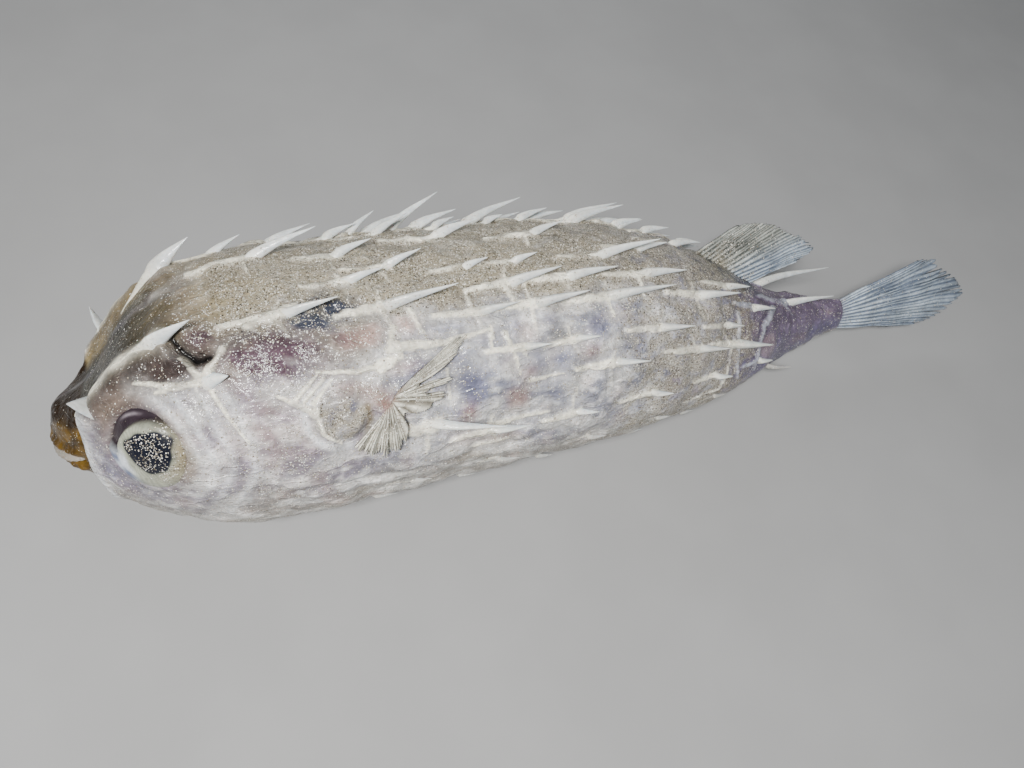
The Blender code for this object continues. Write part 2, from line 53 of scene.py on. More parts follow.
# The body, as in the solids
BODY_LENGTH = 318.0
ORIGIN_X = 196.9
ORIGIN_Y = 1.6
ROLL = math.radians(27)
SINK = 1.0
SQUARENESS = 2.25
# Place behind the snout, half width, half depth, shift of the middle to +Y, height of the middle
STATIONS = (
    (0.0, 2.6, 4.6, 0.6, 33.5),
    (2.0, 6.0, 9.4, 0.6, 33.8),
    (6.0, 12.0, 13.4, 0.4, 32.4),
    (13.0, 18.8, 18.6, 0.0, 32.2),
    (17.5, 26.0, 22.2, -0.5, 34.2),
    (30.0, 34.0, 34.0, -0.4, 39.5),
    (50.0, 42.0, 42.0, -1.0, 43.2),
    (75.0, 44.8, 44.8, -1.2, 44.3),
    (100.0, 44.6, 44.4, -0.2, 44.0),
    (130.0, 44.0, 43.8, 0.6, 43.4),
    (160.0, 43.2, 43.2, 1.0, 42.7),
    (190.0, 41.2, 41.2, 1.2, 40.8),
    (220.0, 36.6, 36.6, 0.9, 36.5),
    (245.0, 29.5, 29.5, 0.0, 30.6),
    (265.0, 21.6, 22.2, -0.8, 25.0),
    (285.0, 13.4, 15.0, -1.0, 21.8),
    (302.0, 8.0, 10.8, -1.2, 21.8),
    (318.0, 3.8, 7.2, -1.4, 22.4),
)
WIDTH, DEPTH, SIDEWAYS, HEIGHT = 1, 2, 3, 4
HEAD_END = 91.0
NODE_ENDS = (91.0, 194.0, 270.0)
EYE_AT = (33.5, 11.0)
EYE_RADIUS = 13.4
EYE_DEPTH = 6.3
EYE_SUNK = 1.2
EYE_BASE = 3.0
BROW_FRONT = (17.0, 44.5)
BROW_BACK = (42.0, 27.0)
SKULL_TURN = 6.0
SKULL_TURN_AT = 46.0
SKULL_TURN_LENGTH = 20.0
BROW_HEIGHT = (5.0, 2.2)
BROW_WIDTH = 5.0
BROW_FADE = 6.0
FOREHEAD_DIP = 1.8
FOREHEAD_AT = 30.0
FOREHEAD_SIZE = (16.0, 24.0)
MOUTH_DROP = 3.4
MOUTH_CENTRE = 8.0
MOUTH_SIZE = (9.2, 13.8, 2.6)
NOSTRIL_AT = (12.5, 38.0)
IRIS_AT = (3.0, 0.3)
IRIS_RADIUS = 9.8
PUPIL_AT = (4.4, 0.7)
PUPIL_RADIUS = 7.0
# The opening between the lids, and where it gapes: more, middle and half of a range of turns
LID_HALF = 12.1
LID_GAPES = ((0.6, 60, 60), (1.2, 176, 40), (0.9, 5, 60))

# Spines, as in the solids
LONG = 23.0
MEDIUM = 17.5
SHORT = 12.5
SMALL = 8.0
LEAN = 19.0
LOW_LEAN = 8.0
ROOT = 13.0
CLEAR_BEHIND = 9.0
CLEAR_AHEAD = 4.0
SEEN_ROWS = (
    (114, ((58, SHORT), (104, SHORT, 38), (118, LONG, 30), (127, MEDIUM), (147, LONG), (167, SHORT))),
    (104, ((185, LONG), (203, SHORT), (216, SHORT), (232, SHORT))),
    (93, ((71, LONG), (131, MEDIUM))),
    (88, ((97, SHORT), (164, SHORT), (222, SHORT))),
    (76, ((111, SHORT, 26), (202, SHORT))),
    (70, ((98, SHORT), (136, SMALL), (153, SMALL), (185, LONG))),
    (58, ((77, MEDIUM), (149, MEDIUM), (170, MEDIUM, 11), (200, MEDIUM, 10), (240, SHORT))),
    (55, ((108, LONG),)),
    (46, ((137, SHORT), (156, MEDIUM), (184, LONG, 15), (223, MEDIUM), (256, SHORT))),
    (36.5, ((53.5, SMALL),)),
    (27, ((150, SMALL), (168, SMALL), (202, SHORT), (236, SMALL))),
    (13, ((182, SHORT), (220, SHORT), (243, MEDIUM))),
    (1.5, ((117.5, LONG, 26),)),
    (-6, ((138, SHORT, LOW_LEAN), (168, SMALL), (200, SMALL), (232, SMALL), (261, SMALL))),
)
STEM_SPINES = ((274.0, 104.0, 41.0, 31.0), (283.0, 66.0, 27.0, 18.0), (275.0, -39.0, 14.0, 28.0),
               (284.0, 196.0, 14.0, 18.0))
BELLY_ROWS = ((-30, 110, 32, 5), (-52, 96, 32, 5), (-72, 80, 32, 5))
# Rows below the first angle are on both sides, and spines below the second one are thin
MIRRORED_BELOW = 85
LOW_DOWN = -20
# A spine is left out where the floor presses: its root lies lowest, or low and looks down
ROOT_LOWEST = 5.0
ROOT_LOW = 9.0
LOOKS_DOWN = -0.8
# How many times deeper and wider than usual spines are, up to a place behind the snout
HEAD_BLADES = ((25.0, (1.4, 2.6)), (44.0, (1.6, 1.2)), (57.0, (1.4, 2.3)))
LOW_BLADE = (0.65, 0.8)
# Brow spines: place, angle from the skull's middle, length, lean
BROW_SPINES = ((19.3, 43.5, 9.5, 66.0), (41.0, 27.0, 16.0, 14.0))

# Fins, as in the solids: their bases, and the tips of rays by how far to the tail and to the back
DORSAL_BASE = (236.0, 266.0)
DORSAL_TIPS = ((17.5, 10.0), (20.0, 13.0), (24.5, 14.0), (29.5, 12.5), (36.0, 9.0), (23.0, 6.0))
ANAL_BASE = (244.0, 264.0)
ANAL_RAY = 24.0
CAUDAL_HALF_BASE = 6.8
CAUDAL_TIPS = ((51.0, -14.5), (66.0, -9.5), (77.0, 0.0), (66.0, 11.0), (50.0, 20.5), (40.0, 22.0))
PECTORAL_FROM = (102.0, 11.0)
PECTORAL_TO = (106.5, 19.0)
# Pectoral rays, a crumpled lower lobe and three bundles with notches between them: share of the
# way along the base, heading with 0 to the tail and 90 to the back, and length
PECTORAL_RAYS = (
    (0.0, -148, 13.5), (0.12, -128, 13.5), (0.25, -108, 13.5), (0.38, -90, 13.5), (0.5, -76, 12),
    (0.53, -50, 4.5), (0.56, -8, 15), (0.585, -3, 17.5), (0.61, 1, 15), (0.635, 3, 5), (0.66, 7, 17),
    (0.69, 10, 20), (0.715, 13, 16), (0.74, 17, 6), (0.77, 24, 22), (0.85, 27, 25), (0.93, 31, 27.5),
    (1.0, 34, 26),
)
# How far the pectoral fin stands off the skin, and how much further at its tips
PECTORAL_CLEAR = 1.3
PECTORAL_RISE = 1.8
# Fineness of the fins: number of rays, points along them, thickness, fraying, crumpling, splits
DORSAL_DETAIL = (15, 34, 1.3, 0.10, 0.35, 0.25)
ANAL_DETAIL = (13, 26, 1.1, 0.10, 0.10, 0.25)
CAUDAL_DETAIL = (12, 60, 1.6, 0.10, 0.50, 0.35)
PECTORAL_DETAIL = (27, 30, 1.0, 0.14, 0.25, 0.45)
WEB_THICK = 0.5
COLUMNS_PER_RAY = 8

# Camera, from the fit of the body to the photograph
CAMERA_AT = (74.7, -139.8, 282.6)
CAMERA_TURN = (29.73, -9.51, -16.60)
FOCAL_PIXELS = 769.0
IMAGE_WIDTH = 1024.0
SENSOR = 36.0

# Fineness of the skin's grid
SNOUT_ROWS = 50
SNOUT_LENGTH = 15.0
FACE_STEP = 0.5
TRUNK_STEP = 0.8
CAP_ROWS = 8
SKIN_COLUMNS = 440
SPINE_COLUMNS = 14
ROOT_RINGS = 8
BLADE_RINGS = 16
EYE_GRID = (44, 120)
BEAK_GRID = (18, 96)
# The skin's columns are up to twice as close round this angle, on both sides
SEEN_MIDDLE = 16.0
SEEN_HALF = 46.0
# The round ends of snout and stem stand out by this much
CAP_DOME = 0.8
MAP_MARGIN = 0.004
# Lowest points of spines and fins above the floor
SPINE_CLEAR = 1.0
FIN_CLEAR = 0.25

# Bars of bone under the skin, seen on the left: half width, height, places along them
BARS = (
    (1.4, 0.9, ((56, 36), (50, 36), (43, 38), (35, 43))),
    (1.9, 1.1, ((53, 36.5), (57, 43), (60.5, 48.5))),
    (1.5, 0.9, ((53.5, 36.5), (51, 42), (48, 48.5))),
    (0.8, 0.8, ((55, 32), (58, 21), (62, 9))),
    (1.5, 1.4, ((81.5, 16), (77, 21), (72, 25.5))),
    (2.7, 1.7, ((80, 59), (74, 57), (67, 54.5))),
    (0.8, 0.8, ((77, 23), (84, 31))),
    (0.8, 0.8, ((79.2, 21.5), (86.2, 29.5))),
    (0.7, 0.7, ((81.5, 20), (88, 28))),
    (1.0, 0.6, ((82, 18), (83, 8), (88, 2))),
    (1.3, 1.0, ((109, 32), (96.5, 29), (84, 32))),
    (2.4, 1.0, ((103, 29.5), (109, 32.5))),
    (1.2, 0.8, ((108.5, 45), (105.5, 34.5))),
    (1.2, 0.8, ((114.5, 51.5), (117, 40.5))),
    (2.2, 1.3, ((107, 36.5), (125.5, 34.5))),
    (1.3, 0.8, ((125, 35), (139, 37.5))),
    (1.2, 0.8, ((138, -4), (157, -3))),
    (0.9, 0.6, ((139, 38), (138, 28))),
    (0.9, 0.6, ((143, 35), (146, 22), (147, 15))),
    (0.8, 0.5, ((123, 23), (123, 10))),
    (0.9, 0.6, ((138, -5), (150, -3))),
    (0.8, 0.5, ((150, 11), (162, 12))),
    (0.9, 0.7, ((131, -14), (143, -13))),
    (1.5, 0.9, ((244, 37), (244, 11), (244, -1), (247, -15))),
    (1.7, 1.1, ((272, 52), (262, 25), (258, 0), (260, -16))),
    (1.0, 0.7, ((240, 1), (237, -20), (219, -24))),
)
# Folds round the eye: how far from its middle, and height
EYE_FOLDS = ((17.2, 0.45), (20.6, 0.7), (25.0, 0.85), (30.5, 0.65))
# Lines on the skin, by their places
RIM = ((11, 66), (14.4, 50), (15.6, 36), (15.8, 20), (15.4, 2), (15.6, -20), (19, -40))
BROW_LINE = ((19, 50), (26, 54), (34, 57), (41, 60))
CRESCENT = ((46.5, 57), (48, 51.5), (51, 46.5), (55.5, 46))
THROAT_FOLD = ((73, -15), (92, -17), (112, -19), (133, -19), (162, -13))
GILL_EDGE = ((96, 1), (97.5, 9), (97, 15))
FLESH_LINE = ((90, 25), (95, 23.5), (99, 20), (103, 14))
# The gill's round lobe: place, angle, radius; and two bits of flesh behind it
DISC = (89.0, 14.0, 9.2)
FLESH = (102.0, 16.0)
LOW_FLESH = (101.0, 7.5)


def srgb(red, green, blue):
    """A colour as the eye reads it, 0 to 255, turned into light."""
    share = np.array([red, green, blue]) / 255.0
    return np.where(share <= 0.04045, share / 12.92, ((share + 0.055) / 1.055) ** 2.4)


BELLY = srgb(142, 136, 127)
CHEEK = srgb(118, 110, 119)
FLANK = srgb(122, 123, 136)
BACK = srgb(134, 125, 104)
OLIVE = srgb(38, 36, 28)
TAN = srgb(124, 110, 78)
SNOUT = srgb(34, 23, 11)
ORANGE = srgb(86, 65, 23)
EYE_SKIN = srgb(108, 94, 84)
BROW_SKIN = srgb(52, 44, 42)
MAROON = srgb(74, 56, 66)
BLOTCH = srgb(46, 50, 62)
RED = srgb(150, 104, 88)
RAW = srgb(140, 102, 88)
# The stem's own dark purple-brown, made darker as painted shade for the light falling off towards the tail
STEM_WITH_SHADE = srgb(93, 81, 99)
LILAC = srgb(92, 90, 122)
IVORY = srgb(232, 227, 208)
RIM_WHITE = srgb(212, 216, 220)
PINK = srgb(164, 140, 136)
PEARL = srgb(204, 202, 198)
VEIL = srgb(92, 94, 120)
PEACH = srgb(160, 130, 120)
# Painted shade for the deep slit of the crescent behind the brow
SLIT_SHADE = srgb(12, 10, 10)
BLADE = srgb(222, 222, 214)
BLADE_TIP = srgb(184, 192, 198)
RAY = srgb(178, 190, 200)
WEB = srgb(98, 109, 126)
DORSAL_RAY = srgb(178, 181, 174)
DORSAL_WEB = srgb(94, 98, 94)
STRAW_RAY = srgb(212, 210, 196)
STRAW_WEB = srgb(118, 112, 100)
PUPIL = srgb(20, 23, 33)
IRIS = srgb(162, 165, 148)
EYE_WHITE = srgb(214, 220, 228)
# Painted shade for the gap between upper lid and eyeball, also used in other hollows and on the eyeball's
# hidden base
GAP_SHADE = srgb(42, 34, 40)
# Painted blue shade at the front and lower edge of the eye
EYE_BLUE_SHADE = srgb(70, 84, 124)
EYE_GLINT = srgb(180, 170, 178)
SAND_FILM = srgb(146, 138, 117)

# Windows between the bones, where the flesh shows through: place, angle, length, width, colour
WINDOWS = (
    (99, 43, 7.0, 4.0, PEACH), (112, 46, 4.0, 3.0, PEACH), (125, 17, 5.0, 4.5, VEIL),
    (132, 12, 4.0, 7.0, VEIL), (126, 26, 5.0, 3.0, VEIL), (139, 33, 4.5, 3.5, VEIL),
    (147, 34, 4.0, 3.5, VEIL), (152, 17, 5.5, 7.0, VEIL), (146, 5, 4.0, 4.0, PEACH),
    (163, 17, 5.0, 5.0, VEIL), (176, 30, 5.0, 4.0, VEIL), (190, 25, 6.0, 5.0, VEIL),
)
# The dark blotches of the species: place, angle, length, width, strength
BLOTCHES = (
    (90, 57, 11, 8, 1.0), (66, 50, 5, 4, 0.6), (104, 49, 6, 3, 0.35), (161, 28, 5, 3, 0.85),
    (196, 66, 8, 5, 0.5), (232, 66, 10, 7, 0.6), (252, 84, 18, 9, 0.8), (176, 98, 14, 7, 0.3),
)
# Reddened spots of the flank: place, angle, length, width
RED_SPOTS = (
    (129, 3, 3.2, 3.4), (127, -8, 5.0, 2.6), (151, 33, 3.4, 4.0), (150, 14, 3.0, 3.6),
    (113, 44, 4.0, 3.0), (108, 28, 6.0, 2.4), (172, 20, 4.0, 3.0), (140, -12, 6.0, 2.6),
)
# Where sand is thinner on the skin: place, angle, length, width, how much
SWEPT = ((146, 20, 22.0, 13.0, 0.6), (91, 58, 13.0, 7.0, 0.6), (72, 43, 18.0, 9.0, 0.3))
# Tones of sand grains from darkest to palest; the darkest are both dark grains and painted shade between
# grains
SAND_AND_SHADE_TONES = (
    (0.0, srgb(30, 26, 25)), (0.17, srgb(84, 76, 67)), (0.3, srgb(150, 138, 118)),
    (0.45, srgb(192, 184, 166)), (0.7, srgb(224, 220, 210)), (1.0, srgb(248, 246, 240)),
)
# Sand grains: size, and how many of them
GRAINS = ((0.42, 1.0), (0.66, 0.6))
# Mottles of every material: size, and how strong
MOTTLES = ((8.0, 1.0), (3.0, 0.6), (1.0, 0.5))
# Lights: name, place, aim, size, watts, colour
LIGHTS = (
    ("key", (-0.24, -0.24, 0.50), (-0.03, 0.0, 0.03), 0.11, 6.0, (1.0, 0.99, 0.97)),
    ("fill", (0.60, -0.40, 0.5), (0.05, 0.0, 0.03), 0.5, 1.1, (0.90, 0.95, 1.0)),
    ("back", (0.05, 0.75, 0.45), (0.0, 0.0, 0.04), 0.5, 2.3, (0.92, 0.96, 1.0)),
)
SKY = (0.95, 0.97, 1.0, 1.0)
SKY_STRENGTH = 0.10
FLOOR_HALF = 2.5
FLOOR_LEVEL = -0.0004


def smoothstep(low, high, x):
    """0 at low and 1 at high, with a soft start and end, and level beyond both."""
    share = np.clip((x - low) / (high - low), 0, 1)
    return share * share * (3 - 2 * share)


def fade(low, high, x):
    """1 at low and 0 at high, with a soft start and end."""
    return 1 - smoothstep(low, high, x)


def between(x, start, full, ebb, end):
    """1 from full to ebb, falling softly to 0 at start and end."""
    return smoothstep(start, full, x) * fade(ebb, end, x)


def hump(x, half=1.0):
    """1 at 0, falling softly to about a third at half and to 0 beyond."""
    x = x / half
    return np.exp(-x * x)


def mix(first, second, share):
    return first + (second - first) * np.asarray(share)[..., None]


def unit(vectors):
    return vectors / np.linalg.norm(vectors, axis=-1, keepdims=True)


def axes():
    """Unit vectors to the fish's own left and to its back."""
    left = np.array([0.0, -math.cos(ROLL), math.sin(ROLL)])
    back = np.array([0.0, math.sin(ROLL), math.cos(ROLL)])
    return left, back


def station(column, s):
    """A curve through one column of the stations, without overshoot (monotone Hermite)."""
    x = np.array([row[0] for row in STATIONS])
    y = np.array([row[column] for row in STATIONS])
    slope = np.diff(y) / np.diff(x)
    tangent = np.zeros_like(y)
    same = slope[:-1] * slope[1:] > 0
    tangent[1:-1][same] = 2 * slope[:-1][same] * slope[1:][same] / (slope[:-1] + slope[1:])[same]
    tangent[0], tangent[-1] = slope[0], slope[-1]
    s = np.clip(s, x[0], x[-1])
    i = np.clip(np.searchsorted(x, s, side="right") - 1, 0, len(x) - 2)
    step = x[i + 1] - x[i]
    t = (s - x[i]) / step
    return (
        (2 * t**3 - 3 * t**2 + 1) * y[i]
        + (t**3 - 2 * t**2 + t) * step * tangent[i]
        + (3 * t**2 - 2 * t**3) * y[i + 1]
        + (t**3 - t**2) * step * tangent[i + 1]
    )


def turned(angle):
    """An angle brought to between -180 and 180."""
    return (angle + 180.0) % 360.0 - 180.0


def folded(angle):
    """The angle of the same place on the left side, from -90 at the belly to 90 at the back."""
    return 90.0 - np.abs(turned(angle - 90.0))


def side_angle(angle, side):
    return angle if side == "left" else 180.0 - angle


def skull_middle(s):
    """The angle of the skull's middle line, which is turned a little to the left."""
    return 90.0 - SKULL_TURN * hump(s - SKULL_TURN_AT, SKULL_TURN_LENGTH)


def skull_relief(s, angle):
    """How far the head's brows stand out and its forehead sinks in, in millimetres."""
    along = np.clip((s - BROW_FRONT[0]) / (BROW_BACK[0] - BROW_FRONT[0]), 0, 1)
    ridge = BROW_FRONT[1] + along * (BROW_BACK[1] - BROW_FRONT[1])
    height = BROW_HEIGHT[0] + along * (BROW_HEIGHT[1] - BROW_HEIGHT[0])
    past = np.maximum(BROW_FRONT[0] - s, 0) + np.maximum(s - BROW_BACK[0], 0)
    off_middle = np.abs(turned(angle - skull_middle(s)))
    aside = np.radians(off_middle - ridge) * station(WIDTH, s)
    brow = height * np.exp(-((aside / BROW_WIDTH) ** 2) - (past / BROW_FADE) ** 2)
    length, half = FOREHEAD_SIZE
    forehead = np.exp(-((off_middle / half) ** 2) - ((s - FOREHEAD_AT) / length) ** 2)
    return brow - FOREHEAD_DIP * forehead


def body_point(s, angle, out=0.0):
    """Points on the body at given places, moved outwards by some millimetres."""
    s, angle = np.broadcast_arrays(np.asarray(s, float), np.asarray(angle, float))
    left, back = axes()
    turn = np.radians(angle)
    aside, above = (np.sign(x) * np.abs(x) ** (2 / SQUARENESS) for x in (np.cos(turn), np.sin(turn)))
    more = out + skull_relief(s, angle)
    wide = (station(WIDTH, s) + more) * aside
    high = (station(DEPTH, s) + more) * above
    middle = np.stack([s, station(SIDEWAYS, s), station(HEIGHT, s) - SINK], -1)
    return middle + wide[..., None] * left + high[..., None] * back


def body_middle(s):
    return (body_point(s, 0.0) + body_point(s, 180.0)) / 2


def skin_frame(s, angle):
    """Points on the skin with unit vectors to the tail, up around the body and straight out."""
    s, angle = np.broadcast_arrays(np.asarray(s, float), np.asarray(angle, float))
    here = body_point(s, angle)
    tailward = unit(body_point(s + 1.0, angle) - body_point(s - 1.0, angle))
    around = body_point(s, angle + 1.0) - body_point(s, angle - 1.0)
    out = unit(np.cross(tailward, around))
    around = unit(around - tailward * np.sum(tailward * around, axis=-1, keepdims=True))
    return here, tailward, around, out


def waves(points, size, seed, count=8):
    """Soft noise from about -1 to 1 at points in space, its lumps about one size across."""
    draw = np.random.default_rng(seed)
    total = np.zeros(points.shape[:-1])
    for _ in range(count):
        way = draw.normal(size=3)
        way *= 2 * math.pi * draw.uniform(0.7, 1.5) / (size * np.linalg.norm(way))
        total += np.sin(points @ way + draw.uniform(0, 2 * math.pi))
    return total / math.sqrt(count)


def line_distance(s, angle, path):
    """How far places lie from a line on the skin, in millimetres, and the share of the way along it."""
    radius = station(WIDTH, s)
    nearest = np.full(np.broadcast(s, angle).shape, 1e3)
    share = np.zeros_like(nearest)
    steps = len(path) - 1
    for k in range(steps):
        (s0, a0), (s1, a1) = path[k], path[k + 1]
        along = s1 - s0
        across = math.radians(a1 - a0) * float(station(WIDTH, (s0 + s1) / 2))
        x = s - s0
        y = np.radians(turned(angle - a0)) * radius
        t = np.clip((x * along + y * across) / (along**2 + across**2), 0, 1)
        distance = np.hypot(x - t * along, y - t * across)
        closer = distance < nearest
        nearest = np.where(closer, distance, nearest)
        share = np.where(closer, (k + t) / steps, share)
    return nearest, share


def new_object(name, data):
    obj = bpy.data.objects.new(name, data)
    bpy.context.scene.collection.objects.link(obj)
    return obj


def signed_volume(points, faces):
    """Six times the volume inside the faces, below 0 if they look inwards."""
    total = 0.0
    for block in faces:
        for k in range(1, block.shape[1] - 1):
            a, b, c = points[block[:, 0]], points[block[:, k]], points[block[:, k + 1]]
            total += np.einsum("ij,ij->", a, np.cross(b, c))
    return total


def add_piece(name, points, faces, paint, sand, material, replaced=(), places=()):
    """A mesh from arrays: points in mm, blocks of faces, a colour and a share of sand for each point.

    places gives each block's corners a spot on the map named OFBake.
    """
    if signed_volume(points, faces) < 0:
        faces = [block[:, ::-1] for block in faces]
        places = [block[:, ::-1] for block in places]
    mesh = bpy.data.meshes.new(name)
    shifted = (points - np.array([ORIGIN_X, ORIGIN_Y, 0.0])) * MM
    mesh.from_pydata(shifted.tolist(), [], [face for block in faces for face in block.tolist()])
    colours = np.concatenate([np.clip(paint, 0, 1), np.clip(sand, 0, 1)[:, None]], 1)
    layer = mesh.color_attributes.new(name="Paint", type="FLOAT_COLOR", domain="POINT")
    layer.data.foreach_set("color", colours.astype(np.float32).ravel())
    if places:
        uv = mesh.uv_layers.new(name="OFBake")
        flat = np.concatenate([block.reshape(-1, 2) for block in places])
        uv.data.foreach_set("uv", flat.astype(np.float32).ravel())
    mesh.materials.append(material)
    mesh.shade_smooth()
    obj = new_object(name, mesh)
    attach(obj, "root")
    if replaced:
        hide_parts(*replaced)


def grid_cells(rows, columns, closed):
    """Row and column of each quad of a grid, joined round if closed, and the number of quads in a row."""
    across = columns if closed else columns - 1
    i, j = np.meshgrid(np.arange(rows - 1), np.arange(across), indexing="ij")
    return i.ravel(), j.ravel(), across


def grid_faces(rows, columns, closed=False):
    i, j, _ = grid_cells(rows, columns, closed)
    a, b = i * columns + j, i * columns + (j + 1) % columns
    return np.stack([a, b, b + columns, a + columns], 1)


def grid_places(rows, columns, corner, size, closed=False):
    """Map places for grid_faces: rows along one side of a rectangle, columns along the other."""
    i, j, across = grid_cells(rows, columns, closed)
    u0, u1 = i / (rows - 1), (i + 1) / (rows - 1)
    v0, v1 = j / across, (j + 1) / across
    square = np.stack([np.stack(pair, 1) for pair in ((u0, v0), (u0, v1), (u1, v1), (u1, v0))], 1)
    return np.array(corner) + square * np.array(size)


def shell_points(rings, first, last):
    """Points of rings in order, then the two hubs that close the first and last ring."""
    return np.concatenate([rings.reshape(-1, 3), [first, last]])


def shell_faces(rows, columns):
    """Faces of a shell from rings of points, and a fan over each of its ends."""
    ring = np.arange(columns)
    fans = [
        np.stack([ends, np.roll(ends, -1), np.full(columns, hub)], 1)
        for ends, hub in ((ring, rows * columns), (ring + (rows - 1) * columns, rows * columns + 1))
    ]
    return [grid_faces(rows, columns, True), np.concatenate([fans[0][:, ::-1], fans[1]])]


def shell_places(rows, columns, corner, side, strip):
    """Map places for shell_faces in a square, the fans as small circles in a strip beside the rings."""
    corner = np.array(corner)
    turn = 2 * math.pi * np.arange(columns + 1) / columns
    fans = []
    for height in (0.25, 0.75):
        centre = corner + side * np.array([1 - strip / 2, height])
        ring = centre + side * strip / 3 * np.stack([np.cos(turn), np.sin(turn)], 1)
        fans.append(np.stack([ring[:-1], ring[1:], np.broadcast_to(centre, (columns, 2))], 1))
    grid = grid_places(rows, columns, corner, (side * (1 - strip), side), True)
    return [grid, np.concatenate([fans[0][:, ::-1], fans[1]])]


def eye_frame(side):
    here, tailward, _, out = skin_frame(EYE_AT[0], side_angle(EYE_AT[1], side))
    upward = np.cross(out, tailward)
    if np.dot(upward, axes()[1]) < 0:
        upward = -upward
    return here - out * EYE_SUNK, tailward, upward, out


def eye_polar(points, side):
    """Distance from the eye's middle line, the turn about it in degrees, and height along it."""
    centre, tailward, upward, out = eye_frame(side)
    offset = points - centre
    x, y = offset @ tailward, offset @ upward
    return np.hypot(x, y), np.degrees(np.arctan2(y, x)), offset @ out


def sector(turn, middle, half):
    """1 in the middle of a range of turns, falling softly to 0 at its ends."""
    return smoothstep(1.0, 0.0, np.abs(turned(turn - middle)) / half)


def opening(turn):
    """Half width of the opening between the lids: it gapes above the eye and to the snout."""
    return LID_HALF + sum(more * sector(turn, middle, half) for more, middle, half in LID_GAPES)


def brow_places():
    for s, aside, length, lean in BROW_SPINES:
        for way in (-1, 1):
            yield s, skull_middle(s) + way * aside, length, lean


def all_spines():
    """Every spine as (place, angle, length, lean), drawn in the same order as in the solids."""
    random.seed(SEED)
    spines = []
    for angle, row in SEEN_ROWS:
        for s, length, *own in row:
            lean = own[0] if own else LEAN
            spines.append((s, angle, length, lean * random.uniform(0.9, 1.1)))
            if angle < MIRRORED_BELOW:
                s += random.uniform(-3, 3)
                length *= random.uniform(0.9, 1.1)
                spines.append((s, 180 - angle, length, lean * random.uniform(0.9, 1.1)))
    spines += STEM_SPINES
    for angle, first, step, count in BELLY_ROWS:
        for side in SIDES:
            for k in range(count):
                s = first + step * k + random.uniform(-2, 2)
                spines.append((s, side_angle(angle, side), SMALL * random.uniform(0.8, 1.1), LOW_LEAN))
    kept = []
    for s, angle, length, lean in spines:
        for border in NODE_ENDS:
            if border - CLEAR_BEHIND < s < border + CLEAR_AHEAD:
                halfway = border + (CLEAR_AHEAD - CLEAR_BEHIND) / 2
                s = border + (CLEAR_AHEAD if s > halfway else -CLEAR_BEHIND)
        here, _, _, out = skin_frame(s, angle)
        if here[2] > ROOT_LOWEST and (here[2] > ROOT_LOW or out[2] > LOOKS_DOWN):
            kept.append((s, angle, length, lean))
    return kept


def spine_size(length):
    return 0.55 + 0.45 * min(1.0, length / MEDIUM)


def root_lines(spines):
    """The roots that show through the skin: one ahead of each spine and one to each side."""
    draw = np.random.default_rng(SEED)
    for s, angle, length, _ in spines:
        size = spine_size(length) * (0.6 if folded(angle) < LOW_DOWN else 1.0)
        degrees = math.degrees(1.0 / max(float(station(WIDTH, s)), 12.0))
        ahead = min(ROOT * size * draw.uniform(1.15, 1.5), s)
        bend = draw.uniform(-1.2, 1.2) * degrees
        start = s - 2.5
        yield 2.3 * size, 1.1 * size, ((s + 1.0, angle), (s - ahead, angle + bend))
        yield 2.3 * size, 0.6 * size, ((start, angle), (s + 1.5, angle))
        for way in (-1, 1):
            reach = draw.uniform(5.0, 10.5) * size * degrees * way
            back = draw.uniform(-2.5, 4.5)
            height = draw.uniform(0.15, 0.55) * size
            yield draw.uniform(0.9, 1.4) * size, height, ((start, angle), (start + back, angle + reach))


